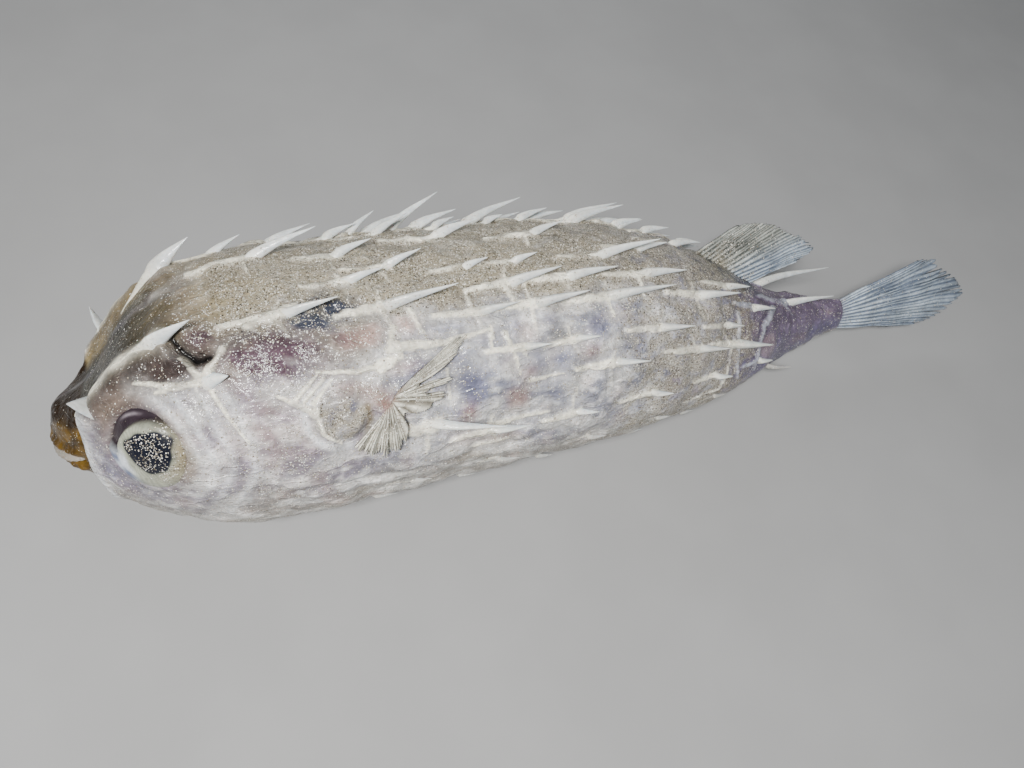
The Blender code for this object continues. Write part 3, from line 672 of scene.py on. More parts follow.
class Skin:
    """The grid of the skin: places, points, relief, colour and sand."""

    def __init__(self):
        snout = SNOUT_LENGTH * np.linspace(0, 1, SNOUT_ROWS) ** 1.3
        face = np.arange(SNOUT_LENGTH + FACE_STEP, HEAD_END, FACE_STEP)
        trunk = np.arange(HEAD_END, BODY_LENGTH, TRUNK_STEP)
        body = np.concatenate([snout, face, trunk, [BODY_LENGTH]])
        shrink = np.linspace(0.06, 0.94, CAP_ROWS)
        self.share = np.concatenate([shrink, np.ones(len(body)), shrink[::-1]])[:, None]
        self.s = np.concatenate([np.zeros(CAP_ROWS), body, np.full(CAP_ROWS, BODY_LENGTH)])[:, None]
        self.angle = self.columns()
        points = body_point(self.s, self.angle)
        middle = points.mean(axis=1, keepdims=True)
        dome = np.zeros_like(points)
        dome[..., 0] = np.where(self.s < 1.0, -1.0, 1.0) * CAP_DOME * (1 - self.share**2)
        self.points = middle + (points - middle) * self.share[..., None] + dome
        self.radius = station(WIDTH, self.s)
        self.relief, self.sand, self.bones = np.zeros((3, *self.points.shape[:2]))
        self.nearest = np.full(self.points.shape[:2], 30.0)
        self.paint = np.zeros(self.points.shape)
        self.uneven = self.waves(4.0, 11)
        self.fading = self.waves(13.0, 12)
        long_ways = self.points * np.array([0.4, 1.0, 1.0])
        self.creases = 1 - np.clip(np.abs(waves(long_ways, 9.0, 13)) / 0.28, 0, 1)
        self.crow_feet = 1 - np.clip(np.abs(waves(long_ways, 4.2, 14)) / 0.3, 0, 1)

    def columns(self):
        """Angles round the body, closer together on the sides that the photograph shows."""
        fine = np.linspace(-90, 270, 3601)
        density = 1.0 + hump(folded(fine) - SEEN_MIDDLE, SEEN_HALF)
        total = np.concatenate([[0.0], np.cumsum((density[1:] + density[:-1]) / 2)])
        wanted = np.linspace(0, total[-1], SKIN_COLUMNS + 1)[:-1]
        return np.interp(wanted, total, fine)[None, :]

    def sides(self):
        """The angles as seen from the left and, mirrored, as seen from the right."""
        return [(side, side_angle(self.angle, side)) for side in SIDES]

    def waves(self, size, seed):
        return waves(self.points, size, seed)

    def aside(self, angle, middle):
        """Millimetres round the body from a middle angle."""
        return np.radians(turned(angle - middle)) * self.radius

    def spot(self, angle, place, length, width):
        """1 in the middle of a soft spot, falling to 0 around it."""
        return hump(self.s - place[0], length) * hump(self.aside(angle, place[1]), width)

    def off_line(self, angle, path):
        """Millimetres from a line on the skin."""
        return line_distance(self.s, angle, path)[0]

    def off_disc(self, angle):
        """Distance from the middle of the gill's round lobe, 1 at its edge."""
        return np.hypot(self.s - DISC[0], self.aside(angle, DISC[1])) / DISC[2]

    def tint(self, colour, share):
        self.paint = mix(self.paint, colour, np.clip(share, 0, 1))

    def normals(self):
        over = np.roll(self.points, -1, axis=1) - np.roll(self.points, 1, axis=1)
        normal = unit(np.cross(over, np.gradient(self.points, axis=0)))
        outward = self.points - self.points.mean(axis=1, keepdims=True)
        return normal if np.sum(normal * outward) > 0 else -normal

    def add_bar(self, angle, half, height, path):
        """Raises one bar of bone and notes how near each place lies to one."""
        ends = [place[0] for place in path]
        rows = np.nonzero((self.s[:, 0] > min(ends) - 12) & (self.s[:, 0] < max(ends) + 12))[0]
        near = slice(rows[0], rows[-1] + 1)
        distance, share = line_distance(self.s[near], angle, path)
        distance = np.abs(distance + 0.12 * half * self.uneven[near])
        thin = half * (1.0 - 0.5 * share)
        shape = fade(0.5, 1.25, distance / thin)
        ribbed = 0.9 + 0.1 * np.cos(distance / thin * 7.0)
        strength = np.clip(0.85 + 0.25 * self.fading[near], 0.4, 1.0)
        raised = 1.3 * height * shape * strength * ribbed
        self.relief[near] = np.maximum(self.relief[near], raised)
        self.bones[near] = np.maximum(self.bones[near], shape * strength * min(height / 0.6, 1.0))
        self.nearest[near] = np.minimum(self.nearest[near], np.maximum(distance - half, 0))


def bone_relief(skin, spines):
    """Roots and bars of bone, and skin that sinks beside them and puffs up between them."""
    for half, height, path in root_lines(spines):
        skin.add_bar(skin.angle, half, height, path)
    for _, angle in skin.sides():
        for half, height, path in BARS:
            skin.add_bar(angle, half, height, path)
    puff = 0.8 * (1 - hump(skin.nearest, 3.6)) - 0.3 * hump(skin.nearest, 0.9)
    skin.relief += (puff - 0.5) * between(skin.s, 66, 96, 262, 285)


def fold_wobble(skin):
    return 0.8 * skin.waves(30.0, 21)


def eye_relief(skin, side):
    """The folds round the eye and the opening between its lids."""
    distance, turn, height = eye_polar(skin.points, side)
    close = smoothstep(-22, -12, height)
    edge = opening(turn)
    wobble = fold_wobble(skin)
    rear = np.maximum(sector(turn, 25, 125), 0.35 * sector(turn, 180, 60)) * fade(34, 44, folded(skin.angle))
    for radius, fold in EYE_FOLDS:
        skin.relief += fold * rear * close * hump(distance - radius - wobble, 1.3)
    skin.relief += 1.2 * close * hump(distance - 18.0, 7.0)
    skin.relief += 0.8 * close * hump(distance - edge - 1.6, 1.6)
    skin.relief -= 8.5 * close * fade(edge - 1.5, edge + 0.1, distance)


def face_relief(skin, side, angle):
    """The rim of bone ahead of the eye, the crescent behind the brow, the throat's fold, a nostril."""
    front = between(angle, -46, -30, 52, 68)
    skin.relief += 1.3 * front * hump(skin.off_line(angle, RIM), 1.4)
    skin.relief -= 0.9 * front * hump(skin.s - 12.4, 1.5)
    hollow, along = line_distance(skin.s, angle, CRESCENT)
    depth = 5.0 if side == "left" else 1.6
    skin.relief -= depth * hump(hollow, 1.8) * np.sin(math.pi * np.clip(along, 0.04, 0.96)) ** 0.5
    skin.relief += 0.9 * hump(hollow - 3.4, 1.6)
    skin.relief += 2.2 * skin.spot(angle, (54, 56), 6.0, 5.0)
    fold = skin.off_line(angle, THROAT_FOLD)
    skin.relief += 0.3 * hump(fold - 3.0, 2.0) - 0.5 * hump(fold, 1.3)
    nostril = np.hypot(skin.s - NOSTRIL_AT[0], skin.aside(angle, NOSTRIL_AT[1]))
    skin.relief += 1.5 * hump(nostril - 1.3, 0.6) - 1.5 * hump(nostril, 0.8)


def gill_relief(skin, angle):
    """The gill's round lobe, bits of flesh behind it and the wrinkles of the flank."""
    distance = skin.off_disc(angle)
    skin.relief += 1.2 * fade(0.70, 1.0, distance) - 0.5 * hump(distance - 1.08, 0.1)
    skin.relief += 0.5 * fade(0.8, 1.0, distance) * skin.waves(6.0, 34)
    skin.relief += 1.6 * skin.spot(angle, FLESH, 4.0, 4.5)
    skin.relief += 1.1 * skin.spot(angle, LOW_FLESH, 3.2, 3.0)
    wrinkled = between(skin.s, 108, 122, 205, 232) * hump(angle - 8.0, 24.0)
    skin.relief += 0.3 * wrinkled * ripples(skin, 1.6 * skin.waves(26.0, 33), 8.5) ** 9


def ripples(skin, bend, length):
    """Even ripples across the body from 0 to 1, shifted along it by a bend."""
    return np.abs(np.sin((skin.s + bend) * 2 * math.pi / length))


def mouth_middle():
    return body_middle(MOUTH_CENTRE) - axes()[1] * MOUTH_DROP


def mouth_relief(skin):
    """The gape between two pleated lips; returns 1 on the lips and 0 away from them."""
    left, back = axes()
    offset = skin.points - mouth_middle()
    ahead, aside, above = offset[..., 0], offset @ left, offset @ back
    inside = fade(2.0, 6.0, ahead) * fade(13.5, 16.0, np.abs(aside))
    skin.relief -= 4.6 * inside * fade(0.9, 2.1, np.abs(above))
    skin.relief += 1.7 * inside * hump(np.abs(above) - 3.4, 1.5)
    pleats = np.abs(np.sin(aside * 1.15 + 0.8 * skin.waves(9.0, 41))) ** 3
    skin.relief += 0.25 * inside * pleats * hump(np.abs(above) - 4.0, 3.0)
    return inside * hump(above, 6.5)


def shape_skin(skin, spines):
    bone_relief(skin, spines)
    for side, angle in skin.sides():
        eye_relief(skin, side)
        face_relief(skin, side, angle)
        gill_relief(skin, angle)
    lips = mouth_relief(skin)
    stem = between(skin.s, 262, 276, 306, 316)
    skin.relief += 0.35 * stem * ripples(skin, 2.2 * skin.waves(22.0, 51), 13.0) ** 5
    skin.relief += 0.45 * skin.waves(34.0, 61) + 0.22 * skin.waves(12.0, 62)
    skin.relief += 0.05 * skin.waves(4.5, 63)
    loose = 0.3 + 0.7 * smoothstep(50, 80, skin.s)
    skin.relief += (0.15 * skin.creases + 0.05 * skin.crow_feet) * loose
    skin.points = skin.points + skin.normals() * (skin.relief * skin.share)[..., None]
    skin.points[..., 2] = np.maximum(skin.points[..., 2], 0.0)
    return lips


def ground_colours(skin):
    """Belly, flank and back, and the tail stem, its dark purple partly painted shade, with a painted lilac
    sheen.
    """
    height = folded(skin.angle) + 7.0 * skin.waves(40.0, 71)
    pearly = skin.points * np.array([0.75, 1.0, 1.0])
    skin.paint[:] = BELLY
    skin.tint(FLANK, smoothstep(-36, 2, height))
    skin.tint(CHEEK, fade(84, 108, skin.s) * smoothstep(-38, 0, height))
    skin.tint(PEARL, smoothstep(-0.1, 0.9, waves(pearly, 12.0, 74)) * 0.65)
    skin.tint(PEARL, smoothstep(0.2, 1.0, waves(pearly, 5.0, 75)) * 0.45)
    skin.tint(VEIL, smoothstep(0.1, 1.3, waves(pearly, 11.0, 76)) * smoothstep(-20, 15, height) * 0.5)
    greyer = 0.5 * smoothstep(150, 215, skin.s) * np.ones_like(height)
    skin.tint(mix(BACK, FLANK, greyer), smoothstep(34, 58, height) * smoothstep(44, 60, skin.s))
    rear = smoothstep(186, 236, skin.s)
    skin.tint(mix(LILAC, FLANK, 0.4), rear * 0.85 * smoothstep(-50, 0, height))
    stem = smoothstep(234, 252, skin.s + 4.0 * skin.waves(24.0, 72))
    # the stem's own dark colour, deepened as painted shade for the light's falloff towards the tail
    skin.tint(STEM_WITH_SHADE, stem * smoothstep(-62, -18, height) * 0.95)
    # a painted lilac sheen in a band along the stem's side
    skin.tint(LILAC, stem * hump(height + 18.0, 26.0) * 0.6)
    pale = smoothstep(-60, -30, height) * fade(230, 245, skin.s)
    skin.tint(RIM_WHITE, (0.22 * skin.creases + 0.05 * skin.crow_feet) * pale)
    skin.tint(PINK, smoothstep(0.3, 1.4, skin.waves(17.0, 73)) * 0.3 * fade(30, 46, height))
    ribs = smoothstep(0.2, 0.75, skin.bones) * between(skin.s, 236, 242, 282, 288)
    skin.tint(mix(LILAC, RIM_WHITE, 0.5), ribs * 0.85)


def lid_colours(skin, side):
    """Skin round the eye: brown above, grey-violet to the snout, white folds, painted shade in the gap of the
    lids and a band of it above.
    """
    distance, turn, height = eye_polar(skin.points, side)
    close = smoothstep(-24, -12, height)
    past = distance - opening(turn)
    skin.tint(BROW_SKIN, hump(distance - 20.0, 6.5) * sector(turn, 92, 74) * close * 0.75)
    skin.tint(EYE_SKIN, hump(distance - 15.5, 4.6) * sector(turn, 125, 120) * close)
    skin.tint(VEIL, hump(distance - 18.0, 5.0) * sector(turn, 205, 75) * close * 0.55)
    # a band of painted shadow above the gap between the lids, in the brow's brown
    skin.tint(BROW_SKIN, hump(past - 1.4, 1.6) * sector(turn, 105, 75) * close * 0.55)
    # painted shade where the skin dips into the gap between the lids
    skin.tint(GAP_SHADE, fade(-0.6, 0.5, past) * close)
    folds = sum(hump(distance - radius - fold_wobble(skin), 1.2) for radius, _ in EYE_FOLDS)
    below_brow = fade(30, 42, folded(skin.angle))
    skin.tint(RIM_WHITE, folds * sector(turn, 15, 110) * close * 0.75 * below_brow)
    behind = hump(distance - 14.5, 3.6) * sector(turn, 345, 85) * close
    skin.tint(mix(TAN, SAND_FILM, 0.5), behind * 0.6)


def snout_colours(skin, angle, soft, lips):
    """Dark brown snout with orange patches on its sides and lips."""
    muzzle = fade(12.6, 14.2, skin.s)
    side_skin = fade(26, 50, folded(angle) + 5.0 * soft)
    skin.tint(SNOUT, muzzle)
    skin.tint(ORANGE, muzzle * side_skin * smoothstep(-0.7, 0.5, skin.waves(8.0, 82) + 0.25))
    skin.tint(ORANGE * 1.15, muzzle * lips * 0.6)
    skin.tint(SNOUT, muzzle * skin.crow_feet * 0.35)
    skin.tint(mix(BELLY, ORANGE, 0.45), muzzle * fade(-75, -45, folded(angle)))


def head_colours(skin, side, angle, lips):
    """Colours the head's own side only, so that the far side's marks don't lie over it."""
    before = skin.paint.copy()
    soft = skin.waves(14.0, 81)
    top = smoothstep(34, 50, folded(angle) + 4.0 * soft)
    ahead = fade(38, 58, skin.s + 4.0 * soft)
    skin.tint(mix(OLIVE, TAN, smoothstep(96, 118, skin.angle)), top * ahead)
    skin.tint(TAN, top * hump(skin.s - 54.0, 15.0) * 0.55)
    lid_colours(skin, side)
    widening = 1.4 + 0.06 * np.maximum(skin.s - 19.0, 0.0)
    skin.tint(IVORY, hump(skin.off_line(angle, BROW_LINE), widening) * 0.95)
    skin.tint(RIM_WHITE, hump(skin.off_line(angle, RIM), 1.5) * fade(46, 60, angle) * 0.9)
    snout_colours(skin, angle, soft, lips)
    own = smoothstep(-4.0, 4.0, 90.0 - np.abs(turned(angle)))
    skin.paint = mix(before, skin.paint, own * np.ones(skin.points.shape[:2]))


def marks_over_bones(skin, side, angle):
    """The maroon patch, the brow's dark spot and the crescent's slit painted dark as shade: no bone shines
    through them.
    """
    ragged = 0.9 + 0.2 * skin.waves(9.0, 91)
    under = 1 - 0.75 * smoothstep(0.3, 0.9, skin.bones)
    skin.tint(MAROON, 1.5 * ragged * under * skin.spot(angle, (72, 42), 17.0, 8.5))
    skin.tint(BROW_SKIN, 1.35 * under * skin.spot(angle, (45, 44), 8.0, 4.4))
    skin.tint(BROW_SKIN, 0.75 * under * skin.spot(angle, (37, 48), 9.0, 4.2))
    skin.tint(mix(BROW_SKIN, MAROON, 0.5), 1.1 * skin.spot(angle, (54.5, 54), 5.5, 4.5))
    skin.tint(BROW_SKIN, 0.5 * under * skin.spot(angle, (72, 50), 17.0, 5.0))
    for place in ((92, 59), (86, 54)):
        skin.tint(BLOTCH, 0.9 * under * smoothstep(0.2, 0.75, ragged * skin.spot(angle, place, 9.0, 5.0)))
    # painted shade in the crescent's slit, darker on the left where it is deeper
    skin.tint(SLIT_SHADE, hump(skin.off_line(angle, CRESCENT), 1.1) * (1.2 if side == "left" else 0.5))


def gill_colours(skin, angle, ragged):
    disc = skin.off_disc(angle)
    skin.tint(mix(SAND_FILM, FLANK, 0.5), 0.8 * fade(0.8, 1.0, disc))
    skin.tint(VEIL, 0.7 * fade(0.5, 0.9, disc) * smoothstep(0.0, 1.2, skin.waves(7.0, 92)))
    # a painted glint: thin white arc on the front edge of the gill's lobe
    skin.tint(RIM_WHITE, 0.7 * hump(disc - 1.14, 0.12) * fade(88, 94, skin.s))
    skin.tint(TAN * 0.6, 0.9 * hump(skin.off_line(angle, GILL_EDGE), 1.3))
    skin.tint(RAW, 0.6 * ragged * hump(skin.off_line(angle, FLESH_LINE), 2.4))
    skin.tint(RAW, 0.6 * skin.spot(angle, FLESH, 3.6, 4.0))


def blotches(skin, angle):
    """The dark blotches of the species and the reddened spots and clear windows of the flank."""
    ragged = 0.85 + 0.35 * skin.waves(9.0, 91)
    for place, around, length, width, share in BLOTCHES:
        spot = skin.spot(angle, (place, around), length, width)
        skin.tint(BLOTCH, share * smoothstep(0.25, 0.75, ragged * spot * 1.3))
    skin.tint(MAROON, 0.8 * ragged * skin.spot(angle, (95, 43), 7.0, 3.0))
    skin.tint(PINK, 0.4 * ragged * skin.spot(angle, (68, 14), 20.0, 12.0))
    for place, around, length, width, colour in WINDOWS:
        pane = hump(((skin.s - place) / length) ** 2) * hump((skin.aside(angle, around) / width) ** 2)
        skin.tint(colour, 0.7 * pane)
    for place, around, length, width in RED_SPOTS:
        skin.tint(RED, 0.5 * skin.spot(angle, (place, around), length, width))
    gill_colours(skin, angle, ragged)


def bone_colours(skin):
    height = folded(skin.angle)
    halo = hump(skin.nearest, 2.6) * between(skin.s, 20, 32, 225, 240)
    skin.tint(PEARL, 0.4 * halo * (1 - 0.8 * smoothstep(44, 60, height)))
    bony = smoothstep(0.15, 0.8, skin.bones) * between(skin.s, 20, 32, 238, 246)
    bony = bony * (1 - 0.45 * fade(-30, -12, height))
    skin.tint(IVORY, bony * (0.88 + 0.12 * skin.uneven))
    # painted shade in the grooves where the skin sinks beside the bones
    groove_shade = hump(skin.nearest, 1.3) * fade(0.02, 0.3, skin.bones)
    skin.tint(mix(skin.paint, GAP_SHADE, 0.5), groove_shade * 0.3 * smoothstep(60, 90, skin.s))


def scatter_sand(skin):
    """Thick on the back and rear, thin on the forehead, round the eye and over the bones."""
    height = folded(skin.angle)
    patchy = 0.5 + 0.5 * skin.waves(18.0, 101)
    fine = 0.5 + 0.5 * skin.waves(6.0, 102)
    back = smoothstep(36, 62, height) * smoothstep(46, 66, skin.s)
    rear = smoothstep(166, 206, skin.s) * smoothstep(-52, -30, height)
    sand = np.maximum(0.14 + 0.16 * patchy, back * (0.76 + 0.30 * patchy))
    sand = np.maximum(sand, rear * (0.62 + 0.36 * fine))
    sand = np.maximum(sand, fade(-45, -25, height) * 0.30)
    sand = sand * (1 - 0.86 * smoothstep(246, 264, skin.s))
    forehead = smoothstep(34, 50, height) * fade(40, 60, skin.s)
    sand = sand * (1 - 0.7 * forehead) * np.where(skin.s < 15.0, 0.12, 1.0)
    for side, angle in skin.sides():
        distance, turn, level = eye_polar(skin.points, side)
        close = smoothstep(-24, -12, level)
        sand = sand * (1 - 0.7 * close * hump(distance - 15.0, 6.0))
        sand += 0.3 * close * hump(distance - 13.5, 3.0) * sector(turn, 330, 60)
        lobe = fade(0.75, 1.05, skin.off_disc(angle))
        sand = np.maximum(sand, lobe * (0.38 + 0.35 * fine))
        for place, around, length, width, share in SWEPT:
            sand = sand * (1 - share * skin.spot(angle, (place, around), length, width))
        sand = np.maximum(sand, 0.45 * skin.spot(angle, (149, 10), 4.5, 3.4))
        sand = sand * (1 - 0.85 * hump(skin.off_line(angle, CRESCENT), 2.0))
    skin.sand = sand * (1 - 0.65 * smoothstep(0.3, 0.9, skin.bones))


def make_skin(spines, material):
    skin = Skin()
    lips = shape_skin(skin, spines)
    ground_colours(skin)
    for side, angle in skin.sides():
        head_colours(skin, side, angle, lips)
        blotches(skin, angle)
    bone_colours(skin)
    for side, angle in skin.sides():
        marks_over_bones(skin, side, angle)
    scatter_sand(skin)
    rows, columns = skin.points.shape[:2]
    points = shell_points(skin.points, skin.points[0].mean(axis=0), skin.points[-1].mean(axis=0))
    paint = shell_points(skin.paint, skin.paint[0, 0], skin.paint[-1, 0])
    sand = np.concatenate([skin.sand.ravel(), [0.0, 0.0]])
    add_piece("skin", points, shell_faces(rows, columns), paint, sand, material,
              ("head", "trunk_front", "trunk_rear", "peduncle"),
              shell_places(rows, columns, (0.0, 0.0), 1.0, 0.03))


def blade_size(s, angle):
    """How many times deeper and wider than usual a spine is: a plate on the snout, thin low down."""
    for end, size in HEAD_BLADES:
        if s < end:
            return size
    return LOW_BLADE if folded(angle) < LOW_DOWN else (1.0, 1.0)


def blade_rings(s, angle, length, lean):
    """Rings of one spine, from the tip of its root to its point, and how far along each lies."""
    here, tailward, around, out = skin_frame(s, angle)
    lean = math.radians(lean)
    above = out * math.cos(lean) - tailward * math.sin(lean)
    end = here + (tailward * math.cos(lean) + out * math.sin(lean)) * length
    end[2] = max(end[2], SPINE_CLEAR)
    size = spine_size(length)
    broad, flat = blade_size(s, angle)
    root = min(ROOT * size, s)
    turn = np.linspace(0, 2 * math.pi, SPINE_COLUMNS, endpoint=False)
    cross, rise = np.cos(turn), np.sin(turn)
    pinch = 1.0 - 0.45 * np.clip(rise, 0, 1)
    rings = []
    shares = np.concatenate([np.linspace(-1, 0, ROOT_RINGS + 1)[:-1], np.linspace(0, 0.985, BLADE_RINGS)])
    for share in shares:
        grown = 1 + min(share, 0.0)
        left_over = 1 - max(share, 0.0)
        if share < 0:
            middle = body_point(s + share * root, angle, 0.9 * grown - 2.2)
        else:
            bow = math.sin(math.pi * share) * 0.05 * length
            middle = here + (end - here) * share + (above * bow - out * 0.3) * left_over
        top = unit(out * left_over + above * (1 - left_over) + 1e-9)
        upper = (0.6 + 1.8 * grown**1.3) * left_over**0.85 * broad
        lower = (0.8 + 1.7 * grown) * left_over**1.6 * broad
        wide = (0.7 + 1.25 * grown) * left_over**0.9 * flat
        reach = np.where(rise > 0, rise * upper, rise * lower) + 0.05 * np.sign(rise)
        rings.append(middle + size * (np.outer(cross * pinch * (wide + 0.05), around) + np.outer(reach, top)))
    return np.array(rings), shares, np.abs(rise)


def spine_looks(shares, edge, angle, draw):
    """Bone white at the root and glassy at the edges to the point, greyer and sandier low down."""
    share = np.repeat(shares, len(edge))
    sides = 1 - np.tile(edge, len(shares))
    height = float(folded(angle))
    colour = mix(IVORY, BLADE, smoothstep(-0.5, 0.15, share))
    colour = mix(colour, BLADE_TIP, smoothstep(-0.1, 0.4, share) * (0.25 + 0.6 * sides))
    colour = mix(colour, BELLY, 0.5 * fade(-26, -12, height) * np.ones(len(colour)))
    colour = colour * (0.94 + 0.1 * draw.random())
    dusty = 0.14 + 0.2 * smoothstep(30, 60, height) + 0.3 * fade(-32, -20, height)
    dusty = dusty * draw.uniform(0.5, 1.2) * fade(-0.3, 0.45, share)
    return np.concatenate([colour, colour[-1:], colour[-1:]]), np.append(dusty, [0.0, 0.0])


def make_spines(spines, material):
    draw = np.random.default_rng(SEED + 1)
    points, paint, sand = [], [], []
    faces, places = ([], []), ([], [])
    cells = math.ceil(math.sqrt(len(spines)))
    offset = 0
    for number, (s, angle, length, lean) in enumerate(spines):
        rings, shares, edge = blade_rings(s, angle, length, lean)
        rows, columns = rings.shape[:2]
        start, before, end = (rings[k].mean(axis=0) for k in (0, -2, -1))
        points.append(shell_points(rings, start, end + (end - before) * 0.2))
        colours, dust = spine_looks(shares, edge, angle, draw)
        paint.append(colours)
        sand.append(dust)
        corner = np.array([number % cells, number // cells]) / cells + MAP_MARGIN
        squares = shell_places(rows, columns, corner, 1.0 / cells - 2 * MAP_MARGIN, 0.06)
        for k, block in enumerate(shell_faces(rows, columns)):
            faces[k].append(block + offset)
            places[k].append(squares[k])
        offset += len(points[-1])
    points, paint, sand = (np.concatenate(values) for values in (points, paint, sand))
    faces, places = ([np.concatenate(block) for block in blocks] for blocks in (faces, places))
    add_piece("spines", points, faces, paint, sand, material, places=places)


def along_table(table, share):
    """Rows of numbers read off a table at shares of the way through it."""
    table = np.array(table, float)
    rows = np.arange(len(table))
    return [np.interp(share * (len(table) - 1), rows, column) for column in table.T]


def fin_rays(phase, v):
    """1 on a ray and 0 on the web, where each ray parts in two on its way out."""
    trunk = np.cos(math.pi * phase) ** 2
    twig = np.cos(2 * math.pi * (phase + 0.25)) ** 2
    return trunk * fade(0.3, 0.6, v) + twig * smoothstep(0.35, 0.7, v)


def fin_lengths(draw, rays, phase, web, fray, splits):
    """How far out each column of a fin reaches: uneven rays, and webs that are frayed and split."""
    columns = len(phase)
    lengths = 1 - fray * draw.random(rays)[np.round(phase).astype(int)] * 0.6
    lengths -= fray * web * draw.random(columns)
    split = draw.random(columns) < splits * web
    return lengths - 0.28 * split * draw.random(columns)


def fin_edge(columns, rows):
    """Quads that join the two faces of a fin round its rim, and their places on the map."""
    number = np.arange(columns * rows).reshape(columns, rows)
    rim = np.concatenate([number[:, 0], number[-1, 1:], number[-2::-1, -1], number[0, -2:0:-1]])
    following = np.roll(rim, -1)
    quads = np.stack([rim, rim + number.size, following + number.size, following], 1)
    steps = np.linspace(0, 1, len(rim) + 1)
    corners = ((0.985, steps[:-1]), (0.995, steps[:-1]), (0.995, steps[1:]), (0.985, steps[1:]))
    return quads, np.stack([np.stack([np.full(len(rim), x), y], 1) for x, y in corners], 1)


def fin_piece(name, place, look, detail, material):
    """A thin fin: branching rays that rise from the web on both faces, with a frayed edge.

    place(u, v) is the middle of the fin a share u of the way across it and v of the way out.
    look(u, v, ray, grain) gives each point's colour and share of sand.
    """
    rays, rows, thick, fray, crumple, splits = detail
    draw = np.random.default_rng(SEED + len(name))
    columns = (rays - 1) * COLUMNS_PER_RAY + 1
    u = np.linspace(0, 1, columns)[:, None] * np.ones((1, rows))
    v = np.linspace(0, 1, rows)[None, :] * np.ones((columns, 1))
    phase = u * (rays - 1)
    ray = fin_rays(phase, v)
    reach = v * fin_lengths(draw, rays, phase[:, 0], 1 - ray[:, -1], fray, splits)[:, None]
    middle = place(u, reach)
    normal = unit(np.cross(np.gradient(middle, axis=0), np.gradient(middle, axis=1)))
    grain = draw.random((columns, 1)) * np.ones((1, rows))
    ripple = crumple * v * (np.sin(phase * math.pi) * 0.6 + waves(middle, 14.0, SEED + rays))
    middle = middle + normal * ripple[..., None]
    half = normal * ((WEB_THICK + (thick - WEB_THICK) * ray * (1 - reach) ** 0.6) / 2)[..., None]
    points = np.concatenate([(middle + half).reshape(-1, 3), (middle - half).reshape(-1, 3)])
    points[:, 2] = np.maximum(points[:, 2], FIN_CLEAR)
    face = grid_faces(columns, rows)
    edge, side = fin_edge(columns, rows)
    front, back = (grid_places(columns, rows, (0.0, low), (0.98, 0.48)) for low in (0.0, 0.5))
    paint, sand = look(u, reach, ray, grain)
    add_piece(name + "_blade", points, [face, (face + columns * rows)[:, ::-1], edge[:, ::-1]],
              np.tile(paint.reshape(-1, 3), (2, 1)), np.tile(sand.ravel(), 2), material, (name,),
              [front, back[:, ::-1], side[:, ::-1]])


def tail_look(u, v, ray, grain):
    """Pale bluish rays on a dark web, greyer to the tips."""
    colour = mix(WEB, RAY, smoothstep(0.25, 0.75, ray + 0.5 * (grain - 0.5)))
    colour = mix(colour, WEB * 0.7, smoothstep(0.55, 1.0, v) * 0.55)
    # the stem's colour, with its painted shade, at the fin's base
    colour = mix(colour, STEM_WITH_SHADE, fade(0.0, 0.16, v) * 0.6)
    return colour, 0.04 + 0.06 * grain * (1 - v)


def dorsal_look(u, v, ray, grain):
    """As the tail fin's at the rear, and grey-green, spotted and sandy in front."""
    streak = smoothstep(0.2, 0.8, ray + 0.4 * (grain - 0.5))
    front = fade(0.45, 0.8, u)
    colour = mix(mix(WEB, DORSAL_WEB, front), mix(RAY, DORSAL_RAY, front), streak)
    colour = mix(colour, OLIVE, hump(u - 0.32, 0.2) * hump(v - 0.35, 0.4) * 0.35)
    sand = 0.36 * fade(0.1, 0.9, u) * (1 - 0.4 * v) + 0.25 * fade(0.0, 0.3, v)
    return colour, sand + 0.06


def pectoral_look(u, v, ray, grain):
    """Straw-coloured rays with dark gaps, raw at the root."""
    colour = mix(STRAW_WEB, STRAW_RAY, smoothstep(0.2, 0.75, ray + 0.4 * (grain - 0.5)))
    colour = mix(colour, OLIVE * 1.2, smoothstep(0.6, 0.9, grain) * (1 - ray) * 0.8)
    colour = mix(colour, RAW, fade(0.0, 0.2, v) * 0.5)
    return colour, np.full_like(v, 0.2)


def dorsal_place(u, v):
    here, _, _, out = skin_frame(DORSAL_BASE[0] + u * (DORSAL_BASE[1] - DORSAL_BASE[0]), 90.0)
    tailward, above = along_table(DORSAL_TIPS, u)
    above = above + 2.5 * v * (1 - v)
    reach = tailward[..., None] * TAILWARD + above[..., None] * axes()[1]
    return here + out * 0.2 + reach * v[..., None]


def anal_place(u, v):
    here, _, _, out = skin_frame(ANAL_BASE[0] + u * (ANAL_BASE[1] - ANAL_BASE[0]), -90.0)
    start = here + out * 0.3
    length = ANAL_RAY * (0.8 + 0.2 * np.sin(math.pi * u))
    end = start + length[..., None] * np.array([0.99, 0.08, 0.0])
    end[..., 2] = 0.8 + 1.6 * u
    return start + (end - start) * v[..., None]


def caudal_place(u, v):
    """Starts 1 mm inside the end of the stem."""
    back = axes()[1]
    start = ((2 * u - 1) * CAUDAL_HALF_BASE)[..., None] * back
    tailward, above = along_table(CAUDAL_TIPS, u)
    reach = (tailward + 1.0)[..., None] * TAILWARD + above[..., None] * back
    return body_middle(BODY_LENGTH) - TAILWARD + start + (reach - start) * v[..., None]


